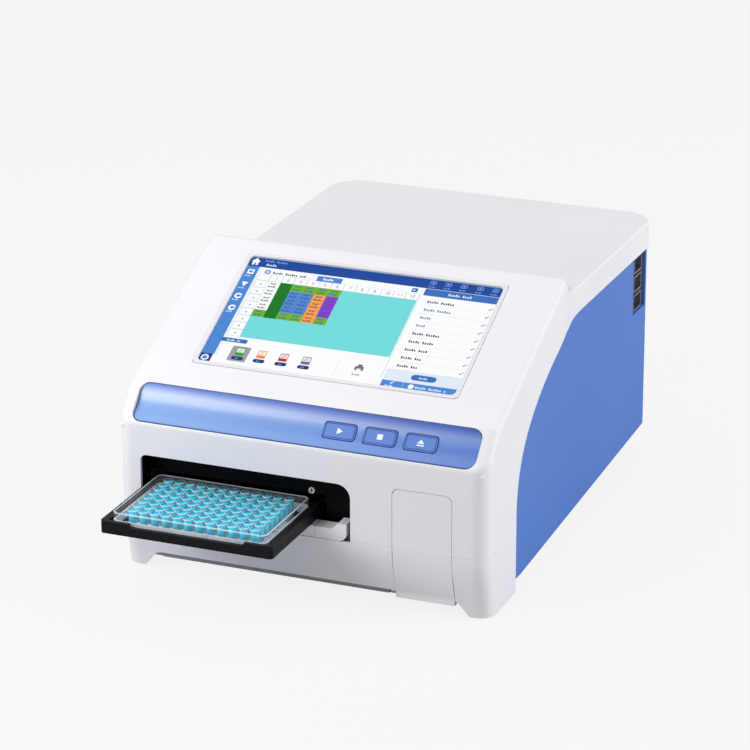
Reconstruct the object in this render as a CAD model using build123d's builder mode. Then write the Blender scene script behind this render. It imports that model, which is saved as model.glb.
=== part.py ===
"""Bench microplate reader with a plate carrier that drives in and out through the front slot.

The frame has +Z up and the front towards -Y. The origin is the centre of the footprint, on the bench,
with the carrier out. Most places are given as (x, u, z), where u is the depth behind the front face.
"""

import os
from math import atan, atan2, cos, radians, sin, tan

from build123d import *

os.makedirs("parts", exist_ok=True)

# ---------------------------------------------------------------- overall sizes
body_width = 298.0
body_depth = 421.0
carrier_reach = 71.5
cheek_step = 8.6
wall = 3.0
fit_gap = 0.3
seam_gap = 0.4

# ---------------------------------------------------------------- side profile
leg_clearance = 1.5
skirt_height = 14.5
crease_height = 52.0
front_tuck = 7.5
leg_tuck = 9.5
bow_height = 35.0
bow_tuck = 2.1
parting_width = 0.5
parting_depth = 0.35
parting_reach = 20.0
skirt_reach = 80.0
panel_top = 121.0
strip_depth = 24.0
strip_rise = 25.3
console_height = 218.0
console_top_depth = 171.66
cover_drop = 24.7
band_height = 21.3
console_back_angle = 38.0
console_round = 7.0
cheek_edge_depth = 64.5
cheek_curve_start = 62.0
cheek_curve_drop = 45.5
cheek_curve_reach = 27.0
cheek_shoulder_drop = 7.0
cheek_shoulder_reach = 92.0
cheek_knee_depth = 177.0
cheek_knee_slope = 0.3
taper_start = 150.0
taper_end = 234.0
front_corner_radius = 12.0
ridge_round = 6.0
rim_round = 1.6
valley_reach = 14.0
edge_share = 0.4
cheek_flange = 10.0
tuck_end = 188.0
rear_corner_radius = 26.0
rear_panel_depth = 395.0

# ---------------------------------------------------------------- front openings
slot_side_gap = 0.6
slot_share = 0.6761
slot_bottom = 50.0
slot_top = 96.0
slot_radius_left = 5.0
slot_radius_right = 11.0
cover_left_share = 0.4654
cover_right_share = 0.17107
cover_top = 98.8
cover_lip_height = 9.2
cover_radius = 5.5
cover_seat = 2.7
cover_land = 5.0
cover_frame_reach = 34.0
leg_width_low = 15.0
leg_width_high = 27.0
leg_radius = 12.0
arch_reach = 62.0

# ---------------------------------------------------------------- display and controls
screen_width = 209.5
screen_height = 117.0
screen_centre_depth = 101.9
bezel_rim = 3.5
bezel_step = 1.4
screen_radius = 4.0
strip_end_margin = 10.5
strip_seam = 0.8
strip_sag = 4.0
strip_thickness = 2.4
strip_radius = 8.5
trough_thickness = 2.5
trough_margin = 4.0
board_depth = 13.7
board_screw_reach = 19.3
boss_radius = 3.0
button_radius = 3.0
flange_reach = 2.2
button_width = 25.4
button_height = 13.2
button_pitch = 32.3
first_button_inset = 111.2
button_centre = 17.9
button_travel = 0.8
button_gap = 0.6
button_proud = 1.2

# ---------------------------------------------------------------- plate, carrier and its drive
plate_length = 127.76
plate_width = 85.48
plate_height = 14.35
plate_deck_length = 124.4
plate_deck_width = 82.2
plate_flange_height = 2.5
well_pitch = 9.0
well_columns = 12
well_rows = 8
well_radius = 3.4
well_sides = 10
sample_depth = 1.4
carrier_share = 0.12327
carrier_width = 139.0
carrier_bottom = 59.9
carrier_height = 9.7
carrier_ledge = 1.2
carrier_front_wall = 3.5
grip_notch_depth = 2.7
grip_notch_width = 97.0
arm_thickness = 3.5
arm_width = 84.0
arm_end = 132.0
carrier_radius = 3.0
plate_radius = 3.0
nest_ledge = 5.0
grip_notch_angle = 60.0

# ---------------------------------------------------------------- rail, deck and belt drive
deck_top = 44.0
deck_thickness = 2.0
deck_reach_left = 59.8
deck_reach_right = 69.2
deck_front = 56.0
deck_rear = 300.0
rail_inset = 2.0
rail_length = 232.0
rail_width = 12.0
rail_height = 8.0
rail_foot = 2.0
rail_groove = 1.0
block_length = 22.0
block_width = 28.0
block_lift = 2.0
block_spacing = 42.0
first_block = 75.0
arm_clearance = 1.9
belt_offset = 39.9
belt_low = 50.0
belt_width = 6.0
belt_thickness = 1.2
pulley_radius = 6.0
pulley_teeth = 16
tooth_gap = 0.6
pulley_flange = 0.8
pulley_rim = 2.0
flange_gap = 0.3
idler_u = 70.0
motor_u = 278.0
motor_size = 35.0
motor_height = 26.0
motor_chamfer = 3.0
clamp_length = 14.0
clamp_width = 8.0
clamp_foot = 2.0

# ---------------------------------------------------------------- side panels, base pan and feet
panel_thickness = 3.0
panel_tuck = 6.0
pan_bottom = 10.0
pan_thickness = 2.0
foot_radius = 10.0
socket_front = 361.5
socket_rear = 392.0
socket_drop = 47.6
pan_sheet = 1.2
pan_front = 12.0
pan_side_front = 75.0
pan_joggle = 8.6
pan_shelf_height = 12.0
pan_side_height = 32.0
panel_rise = 18.0
panel_rise_start = 100.0
pan_flange_inset = 31.0
pan_flange_gap = 7.0
pan_flange_height = 9.0
pan_vents = 6
vent_pitch = 12.0
vent_width = 4.0
foot_inset = 39.0
foot_front = 56.0
foot_rear = 368.0
foot_chamfer = 1.0

# ---------------------------------------------------------------- slot lining and shutter
liner_sheet = 2.0
liner_margin = 1.7
liner_headroom = 0.5
liner_front = 3.3
liner_rear = 21.0
plate_window_low = 57.0
plate_window_high = 77.2
plate_window_gap = 4.9
tab_width = 5.5
tab_low = 60.0
tab_high = 92.0
tab_inset = 5.0
screw_radius = 2.4
screw_head = 1.5
shield_screw_reach = 62.9
shield_screw_z = 79.9
shutter_front = 11.0
shutter_thickness = 2.5
shutter_low = 22.0
lip_front = 0.6
lip_high = 59.2
lip_tab_high = 64.0
lip_tab_inset = 15.0
lip_ramp = 4.5
lip_end_gap = 3.5
lip_seam_reach = 3.0
lip_radius = 6.0
cover_sheet = 2.4
cover_lip_reach = 4.2
cover_hook_width = 8.0
cover_hook_height = 6.0

# ---------------------------------------------------------------- display and button board
glass_thickness = 1.6
glass_gap = 0.2
bezel_proud = 0.4
bezel_ledge = 3.2
bezel_back = 6.3
bezel_flange = 4.5
module_depth = 8.0
board_thickness = 1.6
board_width = 112.0
board_height = 22.0
switch_size = 6.5
stem_radius = 3.0
flange_thickness = 1.5
stem_end = 11.2
button_edge = 0.8

# ---------------------------------------------------------------- optics
bar_height = 56.0
bar_depth = 14.0
bar_thickness = 16.0
bar_leg = 8.0
head_depth = 18.0
head_low = 92.0
head_high = 108.0
head_tab = 4.0
lens_radius = 2.6
lens_drop = 1.8
bore_depth = 3.0
bar_inset = 7.0
post_margin = 1.7
post_width = 6.0
post_depth = 8.0
fibre_radius = 3.0
read_u = 46.0
fibre_u = 50.0
fibre_low = 72.0
fibre_high = 100.0
coupler_radius = 5.0
coupler_flange = 8.0
coupler_length = 12.0
wheel_inset = 51.0
wheel_height = 50.0
wheel_radius = 32.0
wheel_thickness = 6.0
filter_circle = 22.0
filter_radius = 6.0
filter_count = 8
shaft_radius = 2.5
shaft_gap = 0.05
bracket_sheet = 2.0
bracket_width = 36.0
motor_cube = 20.0
motor_length = 24.0
wheel_gap = 3.0
lamp_snout = 5.0
lamp_fin_depth = 8.0
fibre_bend = 16.0
lamp_length = 22.0
lamp_size = 30.0
lamp_fin_count = 5
lamp_fin_gap = 2.5

# ---------------------------------------------------------------- electronics and rear
chip_size = 14.0
chip_height = 2.0
supply_margin = 5.0
screw_margin = 10.0
blade_twist = 24.0
blade_thickness = 2.2
blade_root = 1.0
blade_tip = 1.0
rocker_depth = 4.0
rocker_gap = 0.8
socket_pitch = 16.0
board_length = 70.0
board_edge = 7.1
board_front = 110.0
board_rear = 260.0
standoff_height = 8.0
standoff_radius = 3.0
standoff_inset = 6.0
supply_edge = 12.1
supply_width = 85.0
supply_length = 58.0
supply_height = 42.0
rear_sheet = 2.0
fan_x = 60.0
fan_z = 90.0
fan_size = 60.0
fan_depth = 15.0
fan_bore = 28.0
fan_hub = 11.0
fan_blades = 7
fan_strut = 4.0
guard_radius = 30.0
guard_ring = 2.0
guard_step = 8.0
guard_thickness = 1.6
inlet_inset = 42.1
inlet_z = 38.0
inlet_width = 27.0
inlet_height = 20.0
inlet_flange = 3.0
inlet_depth = 22.0
inlet_wall = 2.5
pin_width = 4.0
pin_thickness = 2.0
pin_length = 13.0
pin_spread = 7.0
switch_offset = 35.0
switch_width = 13.0
switch_height = 20.0
switch_depth = 16.0
switch_wall = 1.5
rocker_tilt = 8.0
pivot_radius = 1.3
socket_shell_width = 19.0
socket_shell_height = 13.5
socket_shell_depth = 8.0
socket_wall = 1.2
bracket_depth = 9.5

# ---------------------------------------------------------------- derived places
half_width = body_width / 2
rear_half = half_width - cheek_step
front_y = -(body_depth - carrier_reach) / 2
pan_top = pan_bottom + pan_thickness
cover_height = console_height - cover_drop
band_bottom = cover_height - band_height
strip_high_z = panel_top + strip_rise
slope = atan((console_height - strip_high_z) / (console_top_depth - strip_depth))
fall = radians(console_back_angle)
valley_depth = console_top_depth + cover_drop / tan(fall)
cover_start = valley_depth - valley_reach
strip_tilt = atan2(strip_rise, strip_depth)
strip_length = (strip_depth**2 + strip_rise**2) ** 0.5
middle_half = rear_half - panel_thickness
groove_half = rear_half + fit_gap
inner_half = half_width - wall
side_space = half_width + 2 * wall
strip_low = 1.3
strip_high = strip_length - 0.5
free_width = body_width - carrier_width
carrier_left = carrier_share * free_width - half_width
carrier_right = carrier_left + carrier_width
carrier_x = (carrier_left + carrier_right) / 2
slot_left = carrier_left - slot_side_gap
slot_right = half_width - slot_share * free_width
cover_left = half_width - cover_left_share * free_width
cover_right = half_width - cover_right_share * free_width
strip_half_width = half_width - strip_end_margin
first_button_x = strip_half_width - first_button_inset
button_places = [first_button_x + index * button_pitch for index in range(3)]
board_screws = (first_button_x - board_screw_reach, button_places[2] + board_screw_reach)
plate_window_right = carrier_right + plate_window_gap
shield_screw_x = carrier_x + shield_screw_reach
lip_tab_start = slot_right - lip_tab_inset
lip_right = slot_right - lip_end_gap
leg_inner_low = half_width - leg_width_low
leg_inner_high = half_width - leg_width_high
liner_left = slot_left - liner_margin
liner_right = slot_right + liner_margin
liner_top = slot_top + liner_headroom
pan_half = middle_half - fit_gap
pan_low_half = rear_half - pan_joggle
foot_x = half_width - foot_inset
wheel_x = half_width - wheel_inset
belt_x = carrier_x + belt_offset
deck_left = carrier_x - deck_reach_left
deck_right = carrier_x + deck_reach_right
board_right = pan_half - board_edge
board_left = board_right - board_length
supply_left = supply_edge - pan_half
supply_right = supply_left + supply_width
inlet_x = inlet_inset - pan_half
switch_x = inlet_x + switch_offset
socket_low = band_bottom - socket_drop
pan_rear = rear_panel_depth - rear_sheet - fit_gap
carrier_front = -carrier_reach
across = (1, 0, 0)
upwards = (0, 0, 1)
backwards = (0, 1, 0)
into_slope = (0, sin(slope), -cos(slope))
into_strip = (0, sin(strip_tilt), -cos(strip_tilt))
strip_axis = Axis((0, 0, 0), (0, -sin(strip_tilt), cos(strip_tilt)))
tall = console_height + wall


def spot(x, u, z):
    """A point from its place across, behind the front face and above the bench."""
    return (x, front_y + u, z)


def slope_height(u):
    """Height of the sloping face at depth u."""
    return strip_high_z + (u - strip_depth) * tan(slope)


side_plane = Plane(origin=(0, front_y, 0), x_dir=(0, 1, 0), z_dir=(1, 0, 0))
plan_plane = Plane(origin=(0, front_y, 0), x_dir=(1, 0, 0), z_dir=(0, 0, 1))
face_plane = Plane(origin=(0, front_y, 0), x_dir=(1, 0, 0), z_dir=(0, -1, 0))
screen_plane = Plane(
    origin=spot(0, screen_centre_depth, slope_height(screen_centre_depth)),
    x_dir=(1, 0, 0),
    z_dir=(0, -sin(slope), cos(slope)),
)
strip_plane = Plane(
    origin=spot(0, 0, panel_top),
    x_dir=(1, 0, 0),
    z_dir=(0, -sin(strip_tilt), cos(strip_tilt)),
)


def side_at(x):
    """Side plane at x, in which a point is (u, z)."""
    return side_plane.offset(x)


def plan_at(z):
    """Level plane at height z, in which a point is (x, u)."""
    return plan_plane.offset(z)


def face_at(u):
    """Upright plane at depth u, in which a point is (x, z); it looks forwards."""
    return face_plane.offset(-u)


def strip_spot(along, sink):
    """Side view point of the strip at a length up its chord, sunk below it."""
    return (
        along * cos(strip_tilt) + sink * sin(strip_tilt),
        panel_top + along * sin(strip_tilt) - sink * cos(strip_tilt),
    )


def slope_line(u, inset=0.0):
    """A point of the sloping face in the side view, sunk by inset."""
    return (u, slope_height(u) - inset / cos(slope))


def draw_body_side(inset, x):
    """Side outline of the upper housing at x, moved inwards by inset."""
    cover_line = cover_height - inset
    fall_end = (valley_depth - valley_reach * cos(fall), cover_line + valley_reach * sin(fall))
    cover_front = (valley_depth + valley_reach, cover_line)
    low_front = (leg_tuck + inset, leg_clearance - inset)
    skirt_front = (front_tuck + inset, skirt_height)
    crease = (inset, crease_height)
    bow = (inset + bow_tuck, bow_height)
    panel_edge = (inset, panel_top - edge_share * inset)
    strip_edge = slope_line(strip_depth + edge_share * inset, inset)
    peak = slope_line(console_top_depth, inset)
    rear_high = (body_depth - inset, cover_height - inset)
    rear_low = (body_depth - inset, leg_clearance - inset)
    with BuildSketch(side_plane.offset(x)) as outline:
        with BuildLine():
            Line(low_front, skirt_front)
            ThreePointArc(skirt_front, bow, crease)
            Polyline(crease, panel_edge, strip_edge, peak, fall_end)
            TangentArc(fall_end, cover_front, tangent=(cos(fall), -sin(fall)))
            Polyline(cover_front, rear_high, rear_low, low_front)
        make_face()
    return outline.sketch


def draw_body_plan(inset, height=0.0):
    """Plan outline of the upper housing at a height, moved inwards by inset."""
    wide, narrow = half_width - inset, rear_half - inset
    middle = (taper_start + taper_end) / 2
    corner = front_corner_radius - inset
    tail = rear_corner_radius - inset
    rear = body_depth - inset
    with BuildSketch(plan_at(height)) as outline:
        with BuildLine():
            Line((0, inset), (wide - corner, inset))
            RadiusArc((wide - corner, inset), (wide, inset + corner), -corner)
            Line((wide, inset + corner), (wide, taper_start))
            Bezier((wide, taper_start), (wide, middle), (narrow, middle), (narrow, taper_end))
            Line((narrow, taper_end), (narrow, rear - tail))
            RadiusArc((narrow, rear - tail), (narrow - tail, rear), -tail)
            Line((narrow - tail, rear), (0, rear))
            Line((0, rear), (0, inset))
        make_face()
        mirror(about=Plane.YZ)
    return outline.sketch


def draw_skirt(height, tuck, inset=0.0):
    """Plan outline of the front skirt at a height, tucked back there and moved inwards by inset."""
    front = tuck + inset
    with BuildSketch(plan_at(height)) as outline:
        with Locations((0, (front + skirt_reach) / 2)):
            Rectangle(body_width - 2 * inset, skirt_reach - front)
        fillet(outline.vertices().group_by(Axis.Y)[0], front_corner_radius - inset)
    return outline.sketch


def draw_behind_cheek(forward, lift, x):
    """Side outline at x of the space behind the cheek and under the cover band."""
    edge = cheek_edge_depth - forward
    rear = body_depth + panel_tuck
    under = band_bottom + lift
    with BuildSketch(side_plane.offset(x)) as outline:
        with BuildLine():
            Line((edge, leg_clearance - wall), (edge, cheek_curve_start))
            Spline(
                (edge, cheek_curve_start),
                (edge + cheek_curve_reach, under - cheek_curve_drop),
                (edge + cheek_shoulder_reach, under - cheek_shoulder_drop),
                (cheek_knee_depth, under),
                tangents=((0, 1), (1, cheek_knee_slope)),
            )
            Polyline(
                (cheek_knee_depth, under),
                (rear, under),
                (rear, leg_clearance - wall),
                (edge, leg_clearance - wall),
            )
        make_face()
    return outline.sketch


def draw_rectangle(plane, low, high, radius=0.0):
    """Rectangle between two corners on a plane, its corners rounded where a radius is given."""
    with BuildSketch(plane) as outline:
        with Locations(((low[0] + high[0]) / 2, (low[1] + high[1]) / 2)):
            if radius:
                RectangleRounded(high[0] - low[0], high[1] - low[1], radius)
            else:
                Rectangle(high[0] - low[0], high[1] - low[1])
    return outline.sketch


def finish(piece, label):
    """Names a finished piece and writes it."""
    piece.part.label = label
    export_step(piece.part, "parts/" + label + ".step")


# ================================================================ upper housing
def draw_strip_band(high, low, start, end, x):
    """Side view of a curved band at x, between two depths under the strip's face."""
    middle = (start + end) / 2
    with BuildSketch(side_at(x)) as band:
        with BuildLine():
            ThreePointArc(
                strip_spot(start, high), strip_spot(middle, high + strip_sag), strip_spot(end, high)
            )
            ThreePointArc(
                strip_spot(start, low), strip_spot(middle, low + strip_sag), strip_spot(end, low)
            )
            Line(strip_spot(start, high), strip_spot(start, low))
            Line(strip_spot(end, high), strip_spot(end, low))
        make_face()
    return band.sketch


def draw_strip_outline(grow, depth):
    """Outline of the strip in its own plane, sunk by depth."""
    with BuildSketch(strip_plane.offset(-depth)) as outline:
        with Locations((0, (strip_low + strip_high) / 2)):
            RectangleRounded(
                2 * (strip_half_width + grow), strip_high - strip_low + 2 * grow, strip_radius
            )
    return outline.sketch


def draw_front_opening(left, right, low, high, radius_left, radius_right):
    """Front view of an opening with rounded upper corners, ahead of the front face."""
    with BuildSketch(face_at(-wall)) as outline:
        with BuildLine():
            Line((left, low), (left, high - radius_left))
            RadiusArc((left, high - radius_left), (left + radius_left, high), radius_left)
            Line((left + radius_left, high), (right - radius_right, high))
            RadiusArc((right - radius_right, high), (right, high - radius_right), radius_right)
            Polyline((right, high - radius_right), (right, low), (left, low))
        make_face()
    return outline.sketch


def draw_screen(grow, radius, depth):
    """Outline of the screen in its own plane, grown and sunk by depth."""
    width, height = screen_width + 2 * grow, screen_height + 2 * grow
    with BuildSketch(screen_plane.offset(-depth)) as outline:
        if radius:
            RectangleRounded(width, height, radius)
        else:
            Rectangle(width, height)
    return outline.sketch


with BuildPart() as skirt_walls:
    # what the hollow leaves standing below the parting line
    extrude(
        draw_rectangle(plan_at(leg_clearance - wall), (-side_space, -wall), (side_space, skirt_reach)),
        amount=crease_height - leg_clearance + wall,
        dir=upwards,
    )
    loft(
        [
            draw_skirt(leg_clearance - wall, leg_tuck, wall),
            draw_skirt(skirt_height, front_tuck, wall),
            draw_skirt(bow_height, bow_tuck, wall),
            draw_skirt(crease_height, 0, wall),
        ],
        mode=Mode.SUBTRACT,
    )

with BuildPart() as front_cavity:
    # the hollow ahead of the cheeks' rear edges
    extrude(draw_body_side(wall, -inner_half), amount=2 * inner_half, dir=across)
    extrude(draw_body_plan(wall, -wall), amount=tall + wall, dir=upwards, mode=Mode.INTERSECT)
    add(skirt_walls.part, mode=Mode.SUBTRACT)
    extrude(
        draw_behind_cheek(cheek_flange, cheek_flange, -half_width),
        amount=body_width,
        dir=across,
        mode=Mode.SUBTRACT,
    )

with BuildPart() as main_cavity:
    # the hollow that runs right through between the side panels
    extrude(draw_body_side(wall, -middle_half), amount=2 * middle_half, dir=across)
    extrude(draw_body_plan(wall), amount=tall, dir=upwards, mode=Mode.INTERSECT)

with BuildPart() as cheek_groove:
    # the groove in the cheek that takes the front edge of each side panel
    extrude(
        draw_behind_cheek(panel_tuck + fit_gap, panel_tuck + fit_gap, -groove_half),
        amount=2 * groove_half,
        dir=across,
    )
    split(bisect_by=Plane(origin=spot(0, tuck_end + fit_gap, 0), z_dir=(0, -1, 0)), keep=Keep.TOP)

with BuildPart() as strip_trough:
    # the curved floor under the control strip, with two bosses for the button board
    extrude(
        draw_strip_band(
            strip_thickness + fit_gap,
            strip_thickness + fit_gap + trough_thickness,
            strip_low - trough_margin,
            strip_high + trough_margin,
            -inner_half,
        ),
        amount=2 * inner_half,
        dir=across,
    )
    with BuildSketch(strip_plane.offset(-board_depth)):
        with Locations(*[(x, button_centre) for x in board_screws]):
            Circle(boss_radius)
    extrude(amount=board_depth - strip_sag - strip_thickness - trough_thickness)
    extrude(draw_body_side(wall / 2, -half_width), amount=body_width, dir=across, mode=Mode.INTERSECT)

with BuildPart() as strip_seat:
    # the space that the control strip fills
    extrude(
        draw_strip_band(
            -strip_sag - wall, strip_thickness + fit_gap, strip_low, strip_high, -strip_half_width
        ),
        amount=2 * strip_half_width,
        dir=across,
    )
    extrude(draw_strip_outline(0, -wall), amount=4 * wall, dir=into_strip, mode=Mode.INTERSECT)

with BuildPart() as cover_frame:
    # the rebated frame behind the access cover's opening
    extrude(draw_body_side(cover_seat, -half_width), amount=body_width, dir=across)
    extrude(
        draw_body_side(2 * cover_seat, -half_width), amount=body_width, dir=across, mode=Mode.SUBTRACT
    )
    extrude(
        draw_front_opening(
            cover_left - cover_land, cover_right + cover_land, pan_top + fit_gap, cover_top + cover_land,
            cover_radius, cover_radius,
        ),
        amount=cover_frame_reach,
        dir=backwards,
        mode=Mode.INTERSECT,
    )

with BuildPart() as cover_recess:
    # the space that the access cover fills
    extrude(
        draw_front_opening(
            cover_left - seam_gap, cover_right + seam_gap, -wall, cover_top + seam_gap,
            cover_radius, cover_radius,
        ),
        amount=cover_frame_reach,
        dir=backwards,
    )
    extrude(
        draw_body_side(cover_seat, -half_width), amount=body_width, dir=across, mode=Mode.SUBTRACT
    )

with BuildPart() as parting_groove:
    # the fine line where the front wall meets the tucked skirt
    extrude(
        draw_rectangle(
            plan_at(crease_height - parting_width / 2), (-side_space, -wall), (side_space, parting_reach)
        ),
        amount=parting_width,
        dir=upwards,
    )
    extrude(draw_body_plan(parting_depth), amount=tall, dir=upwards, mode=Mode.SUBTRACT)

with BuildPart() as skirt_form:
    # the tucked skirt, whose rounded corners lean back with its front
    loft(
        [
            draw_skirt(leg_clearance, leg_tuck),
            draw_skirt(skirt_height, front_tuck),
            draw_skirt(bow_height, bow_tuck),
            draw_skirt(crease_height, 0),
        ]
    )

with BuildPart() as cover_form:
    # the flat cover from the valley to the rear, with its crisp rim
    extrude(draw_body_side(0, -half_width), amount=body_width, dir=across)
    extrude(draw_body_plan(0, crease_height), amount=tall, dir=upwards, mode=Mode.INTERSECT)
    split(bisect_by=Plane(origin=spot(0, cover_start, 0), z_dir=(0, 1, 0)), keep=Keep.TOP)
    cover_rim = [
        edge
        for edge in cover_form.edges()
        if abs((edge @ 0.5).Z - cover_height) < fit_gap
        and (edge @ 0.5).Y > front_y + valley_depth + 2 * valley_reach
    ]
    fillet(cover_rim, rim_round)

with BuildPart() as upper_housing:
    # the console: the side outline and the plan outline, crossed
    extrude(draw_body_side(0, -half_width), amount=body_width, dir=across)
    extrude(draw_body_plan(0, crease_height), amount=tall, dir=upwards, mode=Mode.INTERSECT)
    split(bisect_by=Plane(origin=spot(0, cover_start, 0), z_dir=(0, -1, 0)), keep=Keep.TOP)
    fillet(upper_housing.edges().filter_by(Axis.X).sort_by(Axis.Z)[-1], console_round)
    # the soft ridge along the strip, the sloping top and the fall behind it
    ridge = [
        edge
        for edge in upper_housing.edges()
        if abs(abs((edge @ 0.5).X) - half_width) < fit_gap
        and edge.geom_type == GeomType.LINE
        and abs((edge % 0.5).X) < fit_gap
        and min(abs((edge % 0.5).Y), abs((edge % 0.5).Z)) > fit_gap
    ]
    fillet(ridge, ridge_round)
    add(cover_form.part)
    add(skirt_form.part)
    add(parting_groove.part, mode=Mode.SUBTRACT)
    # the hollows and the open space under the cover band
    add(front_cavity.part, mode=Mode.SUBTRACT)
    add(main_cavity.part, mode=Mode.SUBTRACT)
    add(cheek_groove.part, mode=Mode.SUBTRACT)
    extrude(
        draw_behind_cheek(0, 0, -side_space), amount=2 * side_space, dir=across, mode=Mode.SUBTRACT
    )
    # the trough under the control strip and its seat
    add(strip_trough.part)
    add(strip_seat.part, mode=Mode.SUBTRACT)
    with BuildSketch(strip_plane):
        with Locations(*[(x, button_centre) for x in button_places]):
            RectangleRounded(
                button_width + 2 * flange_reach, button_height + 2 * flange_reach, button_radius
            )
    extrude(amount=-board_depth + wall / 2, mode=Mode.SUBTRACT)
    # the screen's opening, the plate slot and the arch between the legs
    extrude(
        draw_screen(bezel_rim, screen_radius, -wall), amount=4 * wall, dir=into_slope, mode=Mode.SUBTRACT
    )
    extrude(
        draw_front_opening(
            slot_left, slot_right, slot_bottom, slot_top, slot_radius_left, slot_radius_right
        ),
        amount=3 * wall,
        dir=backwards,
        mode=Mode.SUBTRACT,
    )
    with BuildSketch(face_at(-wall)):
        with BuildLine():
            Polyline(
                (-leg_inner_low, -wall), (-leg_inner_low, 0), (-leg_inner_high, skirt_height),
                (leg_inner_high, skirt_height), (leg_inner_low, 0), (leg_inner_low, -wall),
                (-leg_inner_low, -wall),
            )
        make_face()
        fillet(vertices().group_by(Axis.Y)[-1], leg_radius)
    extrude(amount=-arch_reach, mode=Mode.SUBTRACT)
    # the access cover's frame, recess and opening
    add(cover_frame.part)
    add(cover_recess.part, mode=Mode.SUBTRACT)
    extrude(
        draw_front_opening(
            cover_left + cover_land, cover_right - cover_land, -wall, cover_top - cover_land,
            cover_radius, cover_radius,
        ),
        amount=cover_frame_reach,
        dir=backwards,
        mode=Mode.SUBTRACT,
    )
finish(upper_housing, "upper_housing")

# ================================================================ side panels
with BuildPart() as side_panel_left:
    # the part tucked into the cheek's groove, then the visible part with its seam
    extrude(draw_behind_cheek(panel_tuck, panel_tuck, -rear_half), amount=panel_thickness, dir=across)
    extrude(
        draw_rectangle(side_at(-rear_half), (tuck_end, -wall), (2 * body_depth, tall)),
        amount=panel_thickness,
        dir=across,
        mode=Mode.SUBTRACT,
    )
    extrude(draw_behind_cheek(-seam_gap, -seam_gap, -rear_half), amount=panel_thickness, dir=across)
    # the lower edge, which rises towards the rear, and the rear edge
    with BuildSketch(side_at(-rear_half)):
        with BuildLine():
            Polyline(
                (0, leg_clearance),
                (panel_rise_start, leg_clearance),
                (rear_panel_depth, leg_clearance + panel_rise),
                (rear_panel_depth, tall),
                (0, tall),
                (0, leg_clearance),
            )
        make_face()
    extrude(amount=panel_thickness, mode=Mode.INTERSECT)
finish(side_panel_left, "side_panel_left")

with BuildPart() as side_panel_right:
    add(side_panel_left.part.mirror(Plane.YZ))
    extrude(
        draw_rectangle(side_at(middle_half - wall), (socket_front, socket_low), (socket_rear, tall)),
        amount=3 * wall,
        dir=across,
        mode=Mode.SUBTRACT,
    )
finish(side_panel_right, "side_panel_right")

# ================================================================ base pan and feet
with BuildPart() as base_pan:
    extrude(
        draw_rectangle(plan_at(pan_bottom), (-pan_half, pan_front), (pan_half, pan_side_front)),
        amount=pan_thickness,
        dir=upwards,
    )
    # the floor with its stepped sides, which reach out to the side panels
    pan_low = pan_bottom
    pan_shelf = pan_bottom + pan_shelf_height
    pan_high = pan_bottom + pan_side_height
    with BuildSketch(face_at(pan_side_front)):
        with BuildLine():
            Polyline(
                (0, pan_low),
                (pan_low_half, pan_low),
                (pan_low_half, pan_shelf),
                (pan_half, pan_shelf),
                (pan_half, pan_high),
                (pan_half - pan_sheet, pan_high),
                (pan_half - pan_sheet, pan_shelf + pan_sheet),
                (pan_low_half - pan_sheet, pan_shelf + pan_sheet),
                (pan_low_half - pan_sheet, pan_top),
                (0, pan_top),
                (0, pan_low),
            )
        make_face()
        mirror(about=Plane.YZ)
    extrude(amount=pan_side_front - pan_rear)
    # the turned-up edges at the front and the rear
    extrude(
        draw_rectangle(
            plan_at(pan_bottom),
            (pan_flange_inset - half_width, pan_front - pan_sheet),
            (cover_left - pan_flange_gap, pan_front),
        ),
        amount=pan_flange_height,
        dir=upwards,
    )
    extrude(
        draw_rectangle(
            plan_at(pan_bottom), (-pan_low_half, pan_rear - pan_sheet), (pan_low_half, pan_rear)
        ),
        amount=pan_shelf_height + 2 * pan_sheet,
        dir=upwards,
    )
    # the vent slots under the main board
    with BuildSketch(plan_at(pan_bottom)):
        with Locations(((board_left + board_right) / 2, (board_front + board_rear) / 2)):
            with GridLocations(1, vent_pitch, 1, pan_vents):
                SlotOverall(board_right - board_left - 4 * vent_width, vent_width)
    extrude(amount=pan_thickness, mode=Mode.SUBTRACT)
finish(base_pan, "base_pan")

with BuildPart() as rubber_feet:
    with BuildSketch(plan_plane):
        with Locations(*[(x, u) for x in (-foot_x, foot_x) for u in (foot_front, foot_rear)]):
            Circle(foot_radius)
    extrude(amount=pan_bottom)
    chamfer(rubber_feet.edges().group_by(Axis.Z)[0], foot_chamfer)
finish(rubber_feet, "rubber_feet")

# ================================================================ slot lining, its screws and the shutter
with BuildPart() as slot_liner:
    # the side outline makes both side walls, joined by the ceiling and the rear wall
    with BuildSketch(side_at(liner_left - liner_sheet)):
        with BuildLine():
            Polyline(
                (liner_front, liner_top + liner_sheet),
                (liner_front, crease_height + fit_gap),
                (shutter_front, crease_height - wall),
                (shutter_front, shutter_low),
                (liner_rear, shutter_low),
                (liner_rear, liner_top + liner_sheet),
                (liner_front, liner_top + liner_sheet),
            )
        make_face()
    extrude(amount=liner_right - liner_left + 2 * liner_sheet)
    extrude(
        draw_rectangle(face_at(-wall), (liner_left, 0), (liner_right, liner_top)),
        amount=wall + liner_rear - liner_sheet,
        dir=backwards,
        mode=Mode.SUBTRACT,
    )
    extrude(
        draw_rectangle(
            face_at(liner_front), (liner_left, plate_window_low), (plate_window_right, plate_window_high)
        ),
        amount=liner_rear,
        dir=backwards,
        mode=Mode.SUBTRACT,
    )
    # the tabs that the screws hold against the front wall
    for left in (liner_left - liner_sheet - tab_width, liner_right + liner_sheet):
        extrude(
            draw_rectangle(face_at(liner_front), (left, tab_low), (left + tab_width, tab_high)),
            amount=liner_sheet,
            dir=backwards,
        )
finish(slot_liner, "slot_liner")

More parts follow.
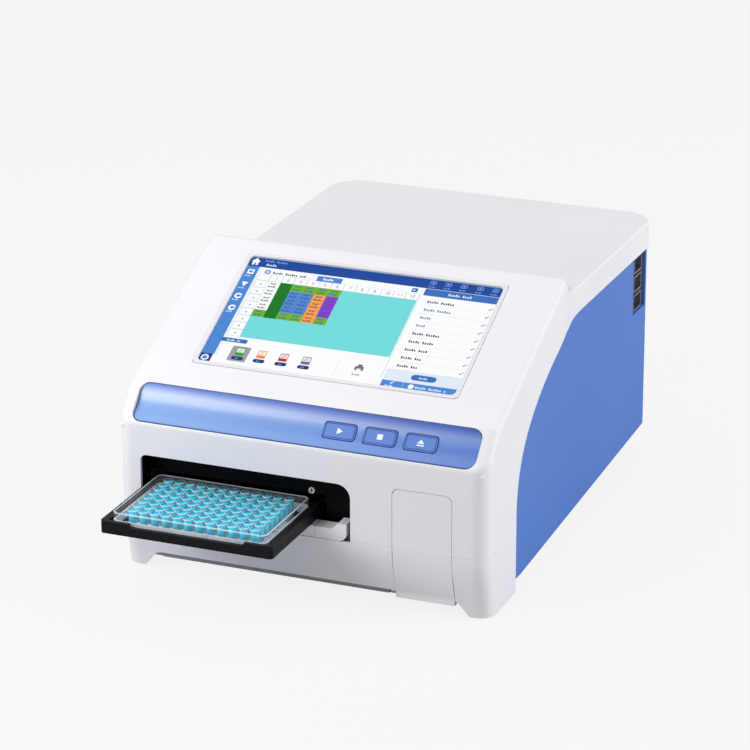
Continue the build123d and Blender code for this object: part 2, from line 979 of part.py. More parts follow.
with BuildPart() as liner_screws:
    with BuildSketch(face_at(liner_front + liner_sheet)):
        for x in (liner_left - liner_sheet - tab_width / 2, liner_right + liner_sheet + tab_width / 2):
            with Locations((x, tab_low + tab_inset), (x, tab_high - tab_inset)):
                Circle(screw_radius)
    extrude(amount=-screw_head)
    with BuildSketch(face_at(liner_rear - liner_sheet)):
        with Locations((shield_screw_x, shield_screw_z)):
            Circle(screw_radius)
    extrude(amount=screw_head)
finish(liner_screws, "liner_screws")

with BuildPart() as plate_shutter:
    # the panel behind the front wall
    extrude(
        draw_rectangle(
            face_at(shutter_front),
            (liner_left + fit_gap, shutter_low + fit_gap),
            (liner_right - fit_gap, slot_bottom + 2 * fit_gap),
        ),
        amount=shutter_thickness,
        dir=backwards,
    )
    # the pale lip in the slot, with its raised end
    lip_low = slot_bottom + fit_gap
    lip_left = slot_left + 2 * fit_gap
    with BuildSketch(face_at(lip_front)):
        with BuildLine():
            Polyline(
                (lip_right - lip_radius, lip_low),
                (lip_left, lip_low),
                (lip_left, lip_high),
                (lip_tab_start, lip_high),
                (lip_tab_start + lip_ramp, lip_tab_high),
                (lip_right, lip_tab_high),
                (lip_right, lip_low + lip_radius),
            )
            RadiusArc((lip_right, lip_low + lip_radius), (lip_right - lip_radius, lip_low), lip_radius)
        make_face()
    extrude(amount=-(shutter_front + shutter_thickness - lip_front))
    # the seam between the main moulding and its end piece
    seam_x = carrier_right + lip_seam_reach
    extrude(
        draw_rectangle(face_at(-wall), (seam_x, 0), (seam_x + fit_gap, tall)),
        amount=body_depth,
        dir=backwards,
        mode=Mode.SUBTRACT,
    )
finish(plate_shutter, "plate_shutter")

# ================================================================ access cover
with BuildPart() as access_cover:
    extrude(draw_body_side(0, -half_width), amount=body_width, dir=across)
    extrude(
        draw_body_side(cover_sheet, -half_width), amount=body_width, dir=across, mode=Mode.SUBTRACT
    )
    extrude(
        draw_front_opening(
            cover_left, cover_right, cover_lip_height, cover_top, cover_radius, cover_radius
        ),
        amount=pan_front,
        dir=backwards,
        mode=Mode.INTERSECT,
    )
    # the lip that wraps under the front edge, and the two hooks at the top
    extrude(
        draw_rectangle(
            side_at(cover_left),
            (pan_front - fit_gap - cover_lip_reach, cover_lip_height),
            (pan_front - fit_gap, cover_lip_height + cover_sheet),
        ),
        amount=cover_right - cover_left,
        dir=across,
    )
    hook_low = cover_top - cover_land - cover_hook_height - 2 * fit_gap
    for left in (cover_left + 2 * cover_land, cover_right - 2 * cover_land - cover_hook_width):
        extrude(
            draw_rectangle(
                face_at(cover_sheet / 2),
                (left, hook_low),
                (left + cover_hook_width, hook_low + cover_hook_height),
            ),
            amount=cover_seat + wall,
            dir=backwards,
        )
finish(access_cover, "access_cover")

# ================================================================ display
with BuildPart() as display_bezel:
    extrude(
        draw_screen(bezel_rim - fit_gap, screen_radius, -bezel_proud),
        amount=bezel_proud + bezel_back,
        dir=into_slope,
    )
    extrude(
        draw_screen(bezel_rim + bezel_flange, screen_radius, wall + fit_gap),
        amount=bezel_back - wall - fit_gap,
        dir=into_slope,
    )
    extrude(
        draw_screen(0, screen_radius, -wall),
        amount=wall + bezel_step + glass_thickness + glass_gap,
        dir=into_slope,
        mode=Mode.SUBTRACT,
    )
    extrude(
        draw_screen(-bezel_ledge, 0, 0), amount=2 * bezel_back, dir=into_slope, mode=Mode.SUBTRACT
    )
finish(display_bezel, "display_bezel")

with BuildPart() as touch_glass:
    extrude(draw_screen(-glass_gap, screen_radius, bezel_step), amount=glass_thickness, dir=into_slope)
finish(touch_glass, "touch_glass")

with BuildPart() as display_module:
    extrude(
        draw_screen(-bezel_ledge - fit_gap, 0, bezel_step + glass_thickness + fit_gap),
        amount=bezel_back,
        dir=into_slope,
    )
    extrude(draw_screen(bezel_rim, 0, bezel_back), amount=module_depth, dir=into_slope)
finish(display_module, "display_module")

# ================================================================ control strip, its buttons and their board
with BuildPart() as control_strip:
    extrude(
        draw_strip_band(
            0,
            strip_thickness,
            strip_low + strip_seam,
            strip_high - strip_seam,
            strip_seam - strip_half_width,
        ),
        amount=2 * (strip_half_width - strip_seam),
        dir=across,
    )
    extrude(draw_strip_outline(-strip_seam, -wall), amount=4 * wall, dir=into_strip, mode=Mode.INTERSECT)
    with BuildSketch(strip_plane.offset(wall)):
        with Locations(*[(x, button_centre) for x in button_places]):
            RectangleRounded(
                button_width + 2 * button_gap, button_height + 2 * button_gap, button_radius
            )
    extrude(amount=-4 * wall, mode=Mode.SUBTRACT)
finish(control_strip, "control_strip")

button_face = strip_sag - button_proud
flange_depth = strip_sag + strip_thickness + fit_gap
for button_name, button_x in zip(("start_button", "stop_button", "plate_button"), button_places):
    with BuildPart() as button:
        # the cap, the flange under the strip and the stem over its switch
        with BuildSketch(strip_plane.offset(-button_face)):
            with Locations((button_x, button_centre)):
                RectangleRounded(button_width, button_height, button_radius)
        extrude(amount=button_face - flange_depth)
        fillet(button.faces().sort_by(strip_axis)[-1].edges(), button_edge)
        with BuildSketch(strip_plane.offset(-flange_depth)):
            with Locations((button_x, button_centre)):
                RectangleRounded(
                    button_width + 2 * flange_reach - 2 * fit_gap,
                    button_height + 2 * flange_reach - 2 * fit_gap,
                    button_radius,
                )
        extrude(amount=-flange_thickness)
        with BuildSketch(strip_plane.offset(-flange_depth - flange_thickness)):
            with Locations((button_x, button_centre)):
                Circle(stem_radius)
        extrude(amount=-(stem_end - flange_depth - flange_thickness))
    finish(button, button_name)

with BuildPart() as button_board:
    with BuildSketch(strip_plane.offset(-board_depth - fit_gap)):
        with Locations((sum(board_screws) / 2, button_centre)):
            Rectangle(board_width, board_height)
    extrude(amount=-board_thickness)
    with BuildSketch(strip_plane.offset(-board_depth - fit_gap)):
        with Locations(*[(x, button_centre) for x in button_places]):
            Rectangle(switch_size, switch_size)
    extrude(amount=board_depth + fit_gap - stem_end - button_travel - fit_gap)
finish(button_board, "button_board")

# ================================================================ carrier, plate and rail
plate_u = carrier_front + carrier_front_wall + fit_gap + plate_width / 2
carrier_rear = plate_u + plate_width / 2 + fit_gap + carrier_front_wall
carrier_top = carrier_bottom + carrier_height

with BuildPart() as plate_carrier:
    extrude(
        draw_rectangle(
            plan_at(carrier_bottom),
            (carrier_left, carrier_front),
            (carrier_right, carrier_rear),
            carrier_radius,
        ),
        amount=carrier_height,
        dir=upwards,
    )
    # the nest, the open middle and the finger notch in the front wall
    nest_x = plate_length / 2 + fit_gap
    nest_u = plate_width / 2 + fit_gap
    extrude(
        draw_rectangle(
            plan_at(carrier_bottom + carrier_ledge),
            (carrier_x - nest_x, plate_u - nest_u),
            (carrier_x + nest_x, plate_u + nest_u),
        ),
        amount=carrier_height,
        dir=upwards,
        mode=Mode.SUBTRACT,
    )
    extrude(
        draw_rectangle(
            plan_at(carrier_bottom),
            (carrier_x - nest_x + nest_ledge, plate_u - nest_u + nest_ledge),
            (carrier_x + nest_x - nest_ledge, plate_u + nest_u - nest_ledge),
            carrier_radius,
        ),
        amount=carrier_height,
        dir=upwards,
        mode=Mode.SUBTRACT,
    )
    with BuildSketch(face_at(carrier_front - wall)):
        with Locations((carrier_x, carrier_top)):
            Trapezoid(
                grip_notch_width, 2 * grip_notch_depth, grip_notch_angle, rotation=180
            )
    extrude(amount=-(carrier_front_wall + wall + fit_gap), mode=Mode.SUBTRACT)
    # the arm on the rail blocks
    extrude(
        draw_rectangle(
            plan_at(carrier_bottom),
            (carrier_x - arm_width / 2, carrier_rear - carrier_front_wall),
            (carrier_x + arm_width / 2, arm_end),
        ),
        amount=arm_thickness,
        dir=upwards,
    )
finish(plate_carrier, "plate_carrier")

with BuildPart() as microplate:
    plate_bottom = carrier_bottom + carrier_ledge
    extrude(
        draw_rectangle(
            plan_at(plate_bottom),
            (carrier_x - plate_length / 2, plate_u - plate_width / 2),
            (carrier_x + plate_length / 2, plate_u + plate_width / 2),
            plate_radius,
        ),
        amount=plate_flange_height,
        dir=upwards,
    )
    extrude(
        draw_rectangle(
            plan_at(plate_bottom),
            (carrier_x - plate_deck_length / 2, plate_u - plate_deck_width / 2),
            (carrier_x + plate_deck_length / 2, plate_u + plate_deck_width / 2),
            plate_radius,
        ),
        amount=plate_height,
        dir=upwards,
    )
    with BuildSketch(plan_at(plate_bottom + plate_height)):
        with Locations((carrier_x, plate_u)):
            with GridLocations(well_pitch, well_pitch, well_columns, well_rows):
                RegularPolygon(well_radius, well_sides)
    extrude(amount=-sample_depth, mode=Mode.SUBTRACT)
finish(microplate, "microplate")

rail_top = deck_top + rail_height
with BuildPart() as guide_rail:
    with BuildSketch(face_at(deck_front + rail_inset)):
        with BuildLine():
            half = rail_width / 2
            Polyline(
                (carrier_x - half, deck_top),
                (carrier_x - half, deck_top + rail_foot),
                (carrier_x - half + rail_groove, deck_top + rail_foot + rail_groove),
                (carrier_x - half + rail_groove, rail_top - rail_foot),
                (carrier_x - half, rail_top - rail_foot + rail_groove),
                (carrier_x - half, rail_top),
                (carrier_x + half, rail_top),
                (carrier_x + half, rail_top - rail_foot + rail_groove),
                (carrier_x + half - rail_groove, rail_top - rail_foot),
                (carrier_x + half - rail_groove, deck_top + rail_foot + rail_groove),
                (carrier_x + half, deck_top + rail_foot),
                (carrier_x + half, deck_top),
                (carrier_x - half, deck_top),
            )
        make_face()
    extrude(amount=-rail_length)
finish(guide_rail, "guide_rail")

with BuildPart() as rail_blocks:
    for u in (first_block, first_block + block_spacing):
        with BuildSketch(face_at(u - block_length / 2)):
            with Locations((carrier_x, (deck_top + block_lift + carrier_bottom) / 2)):
                Rectangle(block_width, carrier_bottom - deck_top - block_lift)
            with Locations((carrier_x, deck_top + rail_height / 2 + fit_gap / 2)):
                Rectangle(rail_width + 2 * fit_gap, rail_height + fit_gap, mode=Mode.SUBTRACT)
        extrude(amount=-block_length)
finish(rail_blocks, "rail_blocks")

with BuildPart() as transport_deck:
    extrude(
        draw_rectangle(
            plan_at(deck_top - deck_thickness), (deck_left, deck_front), (deck_right, deck_rear)
        ),
        amount=deck_thickness,
        dir=upwards,
    )
    for left in (deck_left, deck_right - deck_thickness):
        extrude(
            draw_rectangle(plan_at(pan_top), (left, deck_front), (left + deck_thickness, deck_rear)),
            amount=deck_top - pan_top,
            dir=upwards,
        )
    with BuildSketch(plan_at(deck_top)):
        with Locations((belt_x, motor_u)):
            Circle(shaft_radius + rail_groove)
    extrude(amount=-deck_thickness, mode=Mode.SUBTRACT)
finish(transport_deck, "transport_deck")

# ================================================================ belt drive
shaft_top = carrier_bottom - arm_clearance
with BuildPart() as drive_motor:
    with BuildSketch(plan_at(deck_top - deck_thickness - fit_gap)):
        with Locations((belt_x, motor_u)):
            Rectangle(motor_size, motor_size)
        chamfer(vertices(), motor_chamfer)
    extrude(amount=-motor_height)
    with BuildSketch(plan_at(deck_top - deck_thickness - fit_gap)):
        with Locations((belt_x, motor_u)):
            Circle(shaft_radius)
    extrude(amount=shaft_top - deck_top + deck_thickness + fit_gap)
finish(drive_motor, "drive_motor")

with BuildPart() as idler_pin:
    with BuildSketch(plan_at(deck_top)):
        with Locations((belt_x, idler_u)):
            Circle(shaft_radius)
    extrude(amount=shaft_top - deck_top)
finish(idler_pin, "idler_pin")

for pulley_name, pulley_u in (("motor_pulley", motor_u), ("idler_pulley", idler_u)):
    with BuildPart() as pulley:
        # the toothed drum between two flanges
        with BuildSketch(plan_at(belt_low - flange_gap)):
            with Locations((belt_x, pulley_u)):
                Circle(pulley_radius)
                with PolarLocations(pulley_radius, pulley_teeth):
                    Circle(tooth_gap, mode=Mode.SUBTRACT)
        extrude(amount=belt_width + 2 * flange_gap)
        for height in (belt_low - flange_gap - pulley_flange, belt_low + belt_width + flange_gap):
            with BuildSketch(plan_at(height)):
                with Locations((belt_x, pulley_u)):
                    Circle(pulley_radius + pulley_rim)
            extrude(amount=pulley_flange)
        with BuildSketch(plan_at(belt_low - 2 * pulley_flange - flange_gap)):
            with Locations((belt_x, pulley_u)):
                Circle(shaft_radius + shaft_gap)
        extrude(amount=4 * belt_width, mode=Mode.SUBTRACT)
    finish(pulley, pulley_name)

with BuildPart() as drive_belt:
    with BuildSketch(plan_at(belt_low)):
        with Locations((belt_x, (idler_u + motor_u) / 2)):
            inner = 2 * (pulley_radius + fit_gap)
            outer = inner + 2 * belt_thickness
            SlotOverall(motor_u - idler_u + outer, outer, rotation=90)
            SlotOverall(motor_u - idler_u + inner, inner, rotation=90, mode=Mode.SUBTRACT)
    extrude(amount=belt_width)
finish(drive_belt, "drive_belt")

with BuildPart() as belt_clamp:
    strand_x = belt_x - pulley_radius - fit_gap - belt_thickness / 2
    with BuildSketch(face_at(first_block + (block_length - clamp_length) / 2 + block_length)):
        with Locations((strand_x, (belt_low - clamp_foot + carrier_bottom) / 2)):
            Rectangle(clamp_width, carrier_bottom - belt_low + clamp_foot)
        with Locations((strand_x, belt_low + belt_width / 2)):
            Rectangle(belt_thickness + 2 * fit_gap, belt_width + 2 * fit_gap, mode=Mode.SUBTRACT)
    extrude(amount=-clamp_length)
finish(belt_clamp, "belt_clamp")

# ================================================================ optics at the reading line
bar_left = carrier_left + bar_inset
bar_right = carrier_right - bar_inset
with BuildPart() as detector_bar:
    with BuildSketch(face_at(read_u - bar_depth / 2)):
        with Locations((carrier_x, (bar_height + pan_top) / 2)):
            Rectangle(bar_right - bar_left, bar_height - pan_top)
        with Locations((carrier_x, (bar_height - bar_thickness + pan_top) / 2)):
            Rectangle(
                bar_right - bar_left - 2 * bar_leg,
                bar_height - bar_thickness - pan_top,
                mode=Mode.SUBTRACT,
            )
    extrude(amount=-bar_depth)
    with BuildSketch(plan_at(bar_height)):
        with Locations((carrier_x, read_u)):
            with GridLocations(well_pitch, 1, well_columns, 1):
                Circle(lens_radius)
    extrude(amount=-bore_depth, mode=Mode.SUBTRACT)
finish(detector_bar, "detector_bar")

post_left = carrier_left - post_margin - post_width
post_right = carrier_right + post_margin
post_u = read_u - head_depth / 2 + post_depth / 2
with BuildPart() as read_head:
    extrude(
        draw_rectangle(
            plan_at(head_low),
            (bar_left, read_u - head_depth / 2),
            (bar_right, read_u + head_depth / 2),
        ),
        amount=head_high - head_low,
        dir=upwards,
    )
    extrude(
        draw_rectangle(
            plan_at(head_high - head_tab),
            (post_left, post_u - post_depth / 2),
            (post_right + post_width, post_u + post_depth / 2),
        ),
        amount=head_tab,
        dir=upwards,
    )
finish(read_head, "read_head")

with BuildPart() as head_lenses:
    with BuildSketch(plan_at(head_low)):
        with Locations((carrier_x, read_u)):
            with GridLocations(well_pitch, 1, well_columns, 1):
                Circle(lens_radius)
    extrude(amount=-lens_drop)
finish(head_lenses, "head_lenses")

with BuildPart() as head_posts:
    for left in (post_left, post_right):
        extrude(
            draw_rectangle(
                plan_at(pan_top),
                (left, post_u - post_depth / 2),
                (left + post_width, post_u + post_depth / 2),
            ),
            amount=head_high - head_tab - pan_top,
            dir=upwards,
        )
finish(head_posts, "head_posts")

# ================================================================ lamp, filter wheel and fibre bundle
wheel_left = wheel_x - wheel_thickness / 2
wheel_right = wheel_x + wheel_thickness / 2
bracket_x = wheel_left - wheel_gap - bracket_sheet
lamp_left = wheel_right + lamp_snout

with BuildPart() as filter_wheel:
    with BuildSketch(side_at(wheel_left)):
        with Locations((fibre_u, wheel_height)):
            Circle(wheel_radius)
            with PolarLocations(filter_circle, filter_count):
                Circle(filter_radius, mode=Mode.SUBTRACT)
            Circle(shaft_radius + shaft_gap, mode=Mode.SUBTRACT)
    extrude(amount=wheel_thickness)
finish(filter_wheel, "filter_wheel")

with BuildPart() as filters:
    with BuildSketch(side_at(wheel_left + shutter_thickness / 2)):
        with Locations((fibre_u, wheel_height)):
            with PolarLocations(filter_circle, filter_count):
                Circle(filter_radius - shaft_gap)
    extrude(amount=shutter_thickness)
finish(filters, "filters")

with BuildPart() as wheel_motor:
    with BuildSketch(side_at(bracket_x - fit_gap)):
        with Locations((fibre_u, wheel_height)):
            RectangleRounded(motor_cube, motor_cube, motor_chamfer)
    extrude(amount=-motor_length)
    with BuildSketch(side_at(bracket_x - fit_gap)):
        with Locations((fibre_u, wheel_height)):
            Circle(shaft_radius)
    extrude(amount=wheel_right - bracket_x + fit_gap)
finish(wheel_motor, "wheel_motor")

with BuildPart() as wheel_bracket:
    bracket_high = fibre_low + coupler_flange + bracket_sheet
    with BuildSketch(side_at(bracket_x)):
        with Locations((fibre_u, (pan_top + bracket_high) / 2)):
            Rectangle(bracket_width, bracket_high - pan_top)
        with Locations((fibre_u, wheel_height)):
            Circle(shaft_radius + rail_groove, mode=Mode.SUBTRACT)
        with Locations((fibre_u, fibre_low)):
            Circle(coupler_radius + shaft_gap, mode=Mode.SUBTRACT)
    extrude(amount=bracket_sheet)
    extrude(
        draw_rectangle(
            plan_at(pan_top),
            (bracket_x - motor_cube, fibre_u - bracket_width / 2),
            (bracket_x, fibre_u + bracket_width / 2),
        ),
        amount=bracket_sheet,
        dir=upwards,
    )
finish(wheel_bracket, "wheel_bracket")

with BuildPart() as fibre_coupler:
    with BuildSketch(side_at(bracket_x - bracket_sheet)):
        with Locations((fibre_u, fibre_low)):
            Circle(coupler_flange)
    extrude(amount=bracket_sheet)
    with BuildSketch(side_at(bracket_x - coupler_length)):
        with Locations((fibre_u, fibre_low)):
            Circle(coupler_radius)
    extrude(amount=coupler_length + bracket_sheet)
finish(fibre_coupler, "fibre_coupler")

with BuildPart() as fibre_bundle:
    fibre_plane = Plane(origin=spot(0, fibre_u, 0), x_dir=(1, 0, 0), z_dir=(0, -1, 0))
    fibre_start = (bracket_x - coupler_length, fibre_low)
    fibre_end = (bar_right + fit_gap, fibre_high)
    fibre_rise = fibre_high - fibre_low
    fibre_run = (fibre_start[0] - fibre_end[0] - fibre_rise) / 2
    with BuildLine(fibre_plane):
        FilletPolyline(
            fibre_start,
            (fibre_start[0] - fibre_run, fibre_low),
            (fibre_end[0] + fibre_run, fibre_high),
            fibre_end,
            radius=fibre_bend,
        )
    with BuildSketch(side_at(fibre_start[0])):
        with Locations((fibre_u, fibre_low)):
            Circle(fibre_radius)
    sweep()
finish(fibre_bundle, "fibre_bundle")

with BuildPart() as lamp_housing:
    # the finned body on its foot, with the snout towards the wheel
    lamp_low = fibre_low - lamp_size / 2
    extrude(
        draw_rectangle(
            plan_at(pan_top),
            (lamp_left, fibre_u - lamp_size / 2),
            (lamp_left + lamp_length, fibre_u + lamp_size / 2),
        ),
        amount=fibre_low + lamp_size / 2 - pan_top,
        dir=upwards,
    )
    with BuildSketch(face_at(fibre_u - lamp_size / 2)):
        with Locations((lamp_left + lamp_length / 2, (pan_top + lamp_low) / 2 + bracket_sheet)):
            Rectangle(
                lamp_length - 4 * bracket_sheet, lamp_low - pan_top - bracket_sheet
            )
    extrude(amount=-lamp_size, mode=Mode.SUBTRACT)
    with BuildSketch(plan_at(fibre_low + lamp_size / 2)):
        with Locations((lamp_left + lamp_length / 2, fibre_u)):
            with GridLocations(1, lamp_size / lamp_fin_count, 1, lamp_fin_count - 1):
                Rectangle(lamp_length, lamp_fin_gap)
    extrude(amount=-lamp_fin_depth, mode=Mode.SUBTRACT)
    with BuildSketch(side_at(lamp_left)):
        with Locations((fibre_u, fibre_low)):
            Circle(filter_radius)
    extrude(amount=wheel_gap - lamp_snout)
finish(lamp_housing, "lamp_housing")

# ================================================================ electronics
with BuildPart() as board_standoffs:
    with BuildSketch(plan_at(pan_top)):
        for x in (board_left + standoff_inset, board_right - standoff_inset):
            with Locations((x, board_front + standoff_inset), (x, board_rear - standoff_inset)):
                Circle(standoff_radius)
    extrude(amount=standoff_height)
finish(board_standoffs, "board_standoffs")

board_top = pan_top + standoff_height + board_thickness
with BuildPart() as main_board:
    extrude(
        draw_rectangle(
            plan_at(board_top - board_thickness), (board_left, board_front), (board_right, board_rear)
        ),
        amount=board_thickness,
        dir=upwards,
    )
finish(main_board, "main_board")

with BuildPart() as board_parts:
    # the processor, the driver chips in a row, the connectors and the capacitors
    with BuildSketch(plan_at(board_top)):
        with Locations((board_left + 2 * chip_size, board_front + 2 * chip_size)):
            Rectangle(chip_size, chip_size)
        with Locations(((board_left + board_right) / 2, (board_front + board_rear) / 2)):
            with GridLocations(chip_size, 1, 4, 1):
                Rectangle(chip_size / 2, chip_size / 2)
    extrude(amount=chip_height)
    with BuildSketch(plan_at(board_top)):
        with Locations((board_right - chip_size, (board_front + board_rear) / 2 + 2 * chip_size)):
            with GridLocations(1, chip_size, 1, 3):
                Circle(chip_size / 3)
        with Locations((board_left + chip_size, board_rear - 2 * chip_size)):
            Rectangle(chip_size / 2, 2 * chip_size)
    extrude(amount=5 * chip_height)
finish(board_parts, "board_parts")

supply_rear = rear_panel_depth - rear_sheet - inlet_depth - supply_margin
with BuildPart() as power_supply:
    extrude(
        draw_rectangle(
            plan_at(pan_top),
            (supply_left, supply_rear - supply_length),
            (supply_right, supply_rear),
        ),
        amount=supply_height,
        dir=upwards,
    )
    with BuildSketch(plan_at(pan_top + supply_height)):
        with Locations(((supply_left + supply_right) / 2, supply_rear - supply_length / 2)):
            with GridLocations(vent_pitch, 1, pan_vents, 1):
                SlotOverall(supply_length - 4 * vent_width, vent_width, rotation=90)
    extrude(amount=-vent_width / 2, mode=Mode.SUBTRACT)
finish(power_supply, "power_supply")

# ================================================================ rear panel and its fittings
rear_inside = rear_panel_depth - rear_sheet
rear_panel_low = pan_bottom + pan_shelf_height
with BuildPart() as rear_panel:
    extrude(
        draw_rectangle(
            face_at(rear_inside),
            (-pan_half, rear_panel_low),
            (pan_half, cover_height - wall - fit_gap),
        ),
        amount=rear_sheet,
        dir=backwards,
    )
    with BuildSketch(face_at(rear_inside)):
        with Locations((fan_x, fan_z)):
            Circle(fan_bore)
        with Locations((inlet_x, inlet_z)):
            Rectangle(inlet_width + 2 * fit_gap, inlet_height + 2 * fit_gap)
        with Locations((switch_x, inlet_z)):
            Rectangle(switch_width + 2 * fit_gap, switch_height + 2 * fit_gap)
        with Locations((-fan_x, fan_z + vent_pitch)):
            with GridLocations(1, vent_pitch, 1, pan_vents):
                SlotOverall(fan_size, vent_width)
    extrude(amount=-rear_sheet, mode=Mode.SUBTRACT)
finish(rear_panel, "rear_panel")

with BuildPart() as panel_screws:
    with BuildSketch(face_at(rear_panel_depth)):
        for x in (-pan_half + screw_margin, 0, pan_half - screw_margin):
            with Locations((x, rear_panel_low + screw_margin), (x, band_bottom - screw_margin)):
                Circle(screw_radius)
    extrude(amount=-screw_head)
finish(panel_screws, "panel_screws")

with BuildPart() as fan_frame:
    with BuildSketch(face_at(rear_inside - fan_depth)):
        with Locations((fan_x, fan_z)):
            RectangleRounded(fan_size, fan_size, carrier_radius)
            Circle(fan_bore, mode=Mode.SUBTRACT)
    extrude(amount=-fan_depth)
    # the struts and the motor cup at the inner side
    with BuildSketch(face_at(rear_inside - fan_depth)):
        with Locations((fan_x, fan_z)):
            Circle(fan_hub)
            Rectangle(fan_size - fan_strut, fan_strut)
            Rectangle(fan_strut, fan_size - fan_strut)
    extrude(amount=-fan_strut)
finish(fan_frame, "fan_frame")

rotor_front = rear_inside - fan_depth + fan_strut + fit_gap
rotor_depth = fan_depth - fan_strut - 4 * fit_gap
with BuildPart() as fan_rotor:
    with BuildSketch(face_at(rotor_front)):
        with Locations((fan_x, fan_z)):
            Circle(fan_hub)
    extrude(amount=-rotor_depth)
    # each blade turns along its depth between a straight root and a twisted end
    for index in range(fan_blades):
        turn = 360.0 / fan_blades * index
        for depth, twist in ((0, 0), (rotor_depth, blade_twist)):
            with BuildSketch(face_at(rotor_front + depth)):
                with Locations(Location((fan_x, fan_z), turn + twist)):
                    with Locations(((fan_hub + fan_bore) / 2 - blade_root, 0)):
                        Rectangle(fan_bore - fan_hub - blade_tip, blade_thickness)
        loft()
finish(fan_rotor, "fan_rotor")

with BuildPart() as fan_guard:
    with BuildSketch(face_at(rear_panel_depth)):
        with Locations((fan_x, fan_z)):
            for ring in range(1, 4):
                radius = guard_radius - guard_step * (ring - 1)
                Circle(radius)
                Circle(radius - guard_ring, mode=Mode.SUBTRACT)
            Rectangle(2 * guard_radius - guard_ring, guard_ring, rotation=45)
            Rectangle(guard_ring, 2 * guard_radius - guard_ring, rotation=45)
    extrude(amount=-guard_thickness)
finish(fan_guard, "fan_guard")

with BuildPart() as power_inlet:
    with BuildSketch(face_at(rear_panel_depth)):
        with Locations((inlet_x, inlet_z)):
            RectangleRounded(
                inlet_width + 2 * inlet_flange, inlet_height + 2 * inlet_flange, inlet_flange
            )
    extrude(amount=-inlet_flange)
    with BuildSketch(face_at(rear_panel_depth)):
        with Locations((inlet_x, inlet_z)):
            Rectangle(inlet_width, inlet_height)
    extrude(amount=inlet_depth)
    with BuildSketch(face_at(rear_panel_depth + inlet_flange)):
        with Locations((inlet_x, inlet_z)):
            Rectangle(inlet_width - 2 * inlet_wall, inlet_height - 2 * inlet_wall)
        chamfer(vertices().group_by(Axis.Y)[-1], inlet_flange)
    extrude(amount=inlet_depth + inlet_flange - inlet_wall, mode=Mode.SUBTRACT)
finish(power_inlet, "power_inlet")

with BuildPart() as inlet_pins:
    pin_base = rear_panel_depth - inlet_depth + inlet_wall
    with BuildSketch(face_at(pin_base)):
        with Locations(
            (inlet_x - pin_spread, inlet_z - pin_width / 2),
            (inlet_x, inlet_z + pin_width / 2),
            (inlet_x + pin_spread, inlet_z - pin_width / 2),
        ):
            Rectangle(pin_thickness, pin_width)
    extrude(amount=-pin_length)
finish(inlet_pins, "inlet_pins")

with BuildPart() as switch_frame:
    with BuildSketch(face_at(rear_panel_depth)):
        with Locations((switch_x, inlet_z)):
            RectangleRounded(
                switch_width + inlet_flange, switch_height + inlet_flange, switch_wall / 2
            )
    extrude(amount=-switch_wall)
    with BuildSketch(face_at(rear_panel_depth)):
        with Locations((switch_x, inlet_z)):
            Rectangle(switch_width, switch_height)
    extrude(amount=switch_depth)
    with BuildSketch(face_at(rear_panel_depth + switch_wall)):
        with Locations((switch_x, inlet_z)):
            Rectangle(switch_width - 2 * switch_wall, switch_height - 2 * switch_wall)
    extrude(amount=switch_depth, mode=Mode.SUBTRACT)
    # the bores for the rocker's pivots
    with BuildSketch(side_at(switch_x - switch_width / 2 + switch_wall / 2)):
        with Locations((rear_panel_depth - rocker_depth / 2, inlet_z)):
            Circle(pivot_radius + shaft_gap)
    extrude(amount=switch_width - switch_wall, mode=Mode.SUBTRACT)
finish(switch_frame, "switch_frame")

# the rocker's own plane, tilted about its pivot: a point is (back, up) from the pivot
rocker_plane = Plane(
    origin=spot(
        switch_x - switch_width / 2 + switch_wall + fit_gap, rear_panel_depth - rocker_depth / 2, inlet_z
    ),
    x_dir=(0, cos(radians(rocker_tilt)), sin(radians(rocker_tilt))),
    z_dir=(1, 0, 0),
)
with BuildPart() as power_switch:
    # two faces that meet over the pivot, on a rounded heel
    rocker_half = switch_height / 2 - switch_wall - rocker_gap
    with BuildSketch(rocker_plane):
        with BuildLine():
            ThreePointArc((0, -rocker_half), (-rocker_depth, 0), (0, rocker_half))
            Polyline(
                (0, rocker_half),
                (rocker_depth, rocker_half - rocker_gap),
                (rocker_depth / 2, 0),
                (rocker_depth, rocker_gap - rocker_half),
                (0, -rocker_half),
            )
        make_face()
    extrude(amount=switch_width - 2 * switch_wall - 2 * fit_gap)
    # the pivots at both sides
    with BuildSketch(rocker_plane.offset(-2 * fit_gap)):
        Circle(pivot_radius)
    extrude(amount=switch_width - 2 * switch_wall + 2 * fit_gap)
finish(power_switch, "power_switch")

# ================================================================ data sockets in the right side
shell_base = rear_half - bracket_depth
socket_u = (socket_front + socket_rear) / 2
socket_heights = [socket_low + socket_pitch * (index + 0.5) for index in range(3)]
with BuildPart() as io_bracket:
    # the floor of the recess, with a flange against the rear panel
    extrude(
        draw_rectangle(
            side_at(shell_base - rear_sheet),
            (socket_front - wall, socket_low - wall),
            (rear_inside - fit_gap, band_bottom),
        ),
        amount=rear_sheet,
        dir=across,
    )
    extrude(
        draw_rectangle(
            face_at(rear_inside - fit_gap - rear_sheet),
            (shell_base - bracket_depth, socket_low - wall),
            (shell_base, band_bottom),
        ),
        amount=rear_sheet,
        dir=backwards,
    )
finish(io_bracket, "io_bracket")

with BuildPart() as data_sockets:
    with BuildSketch(side_at(shell_base)):
        for height in socket_heights:
            with Locations((socket_u, height)):
                Rectangle(socket_shell_width, socket_shell_height)
                Rectangle(
                    socket_shell_width - 2 * socket_wall,
                    socket_shell_height - 2 * socket_wall,
                    mode=Mode.SUBTRACT,
                )
    extrude(amount=socket_shell_depth)
finish(data_sockets, "data_sockets")
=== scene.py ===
"""Looks of a bench microplate reader: materials, display picture, well plate, light and camera."""

import math

import bmesh
import bpy
from mathutils import Matrix, Vector


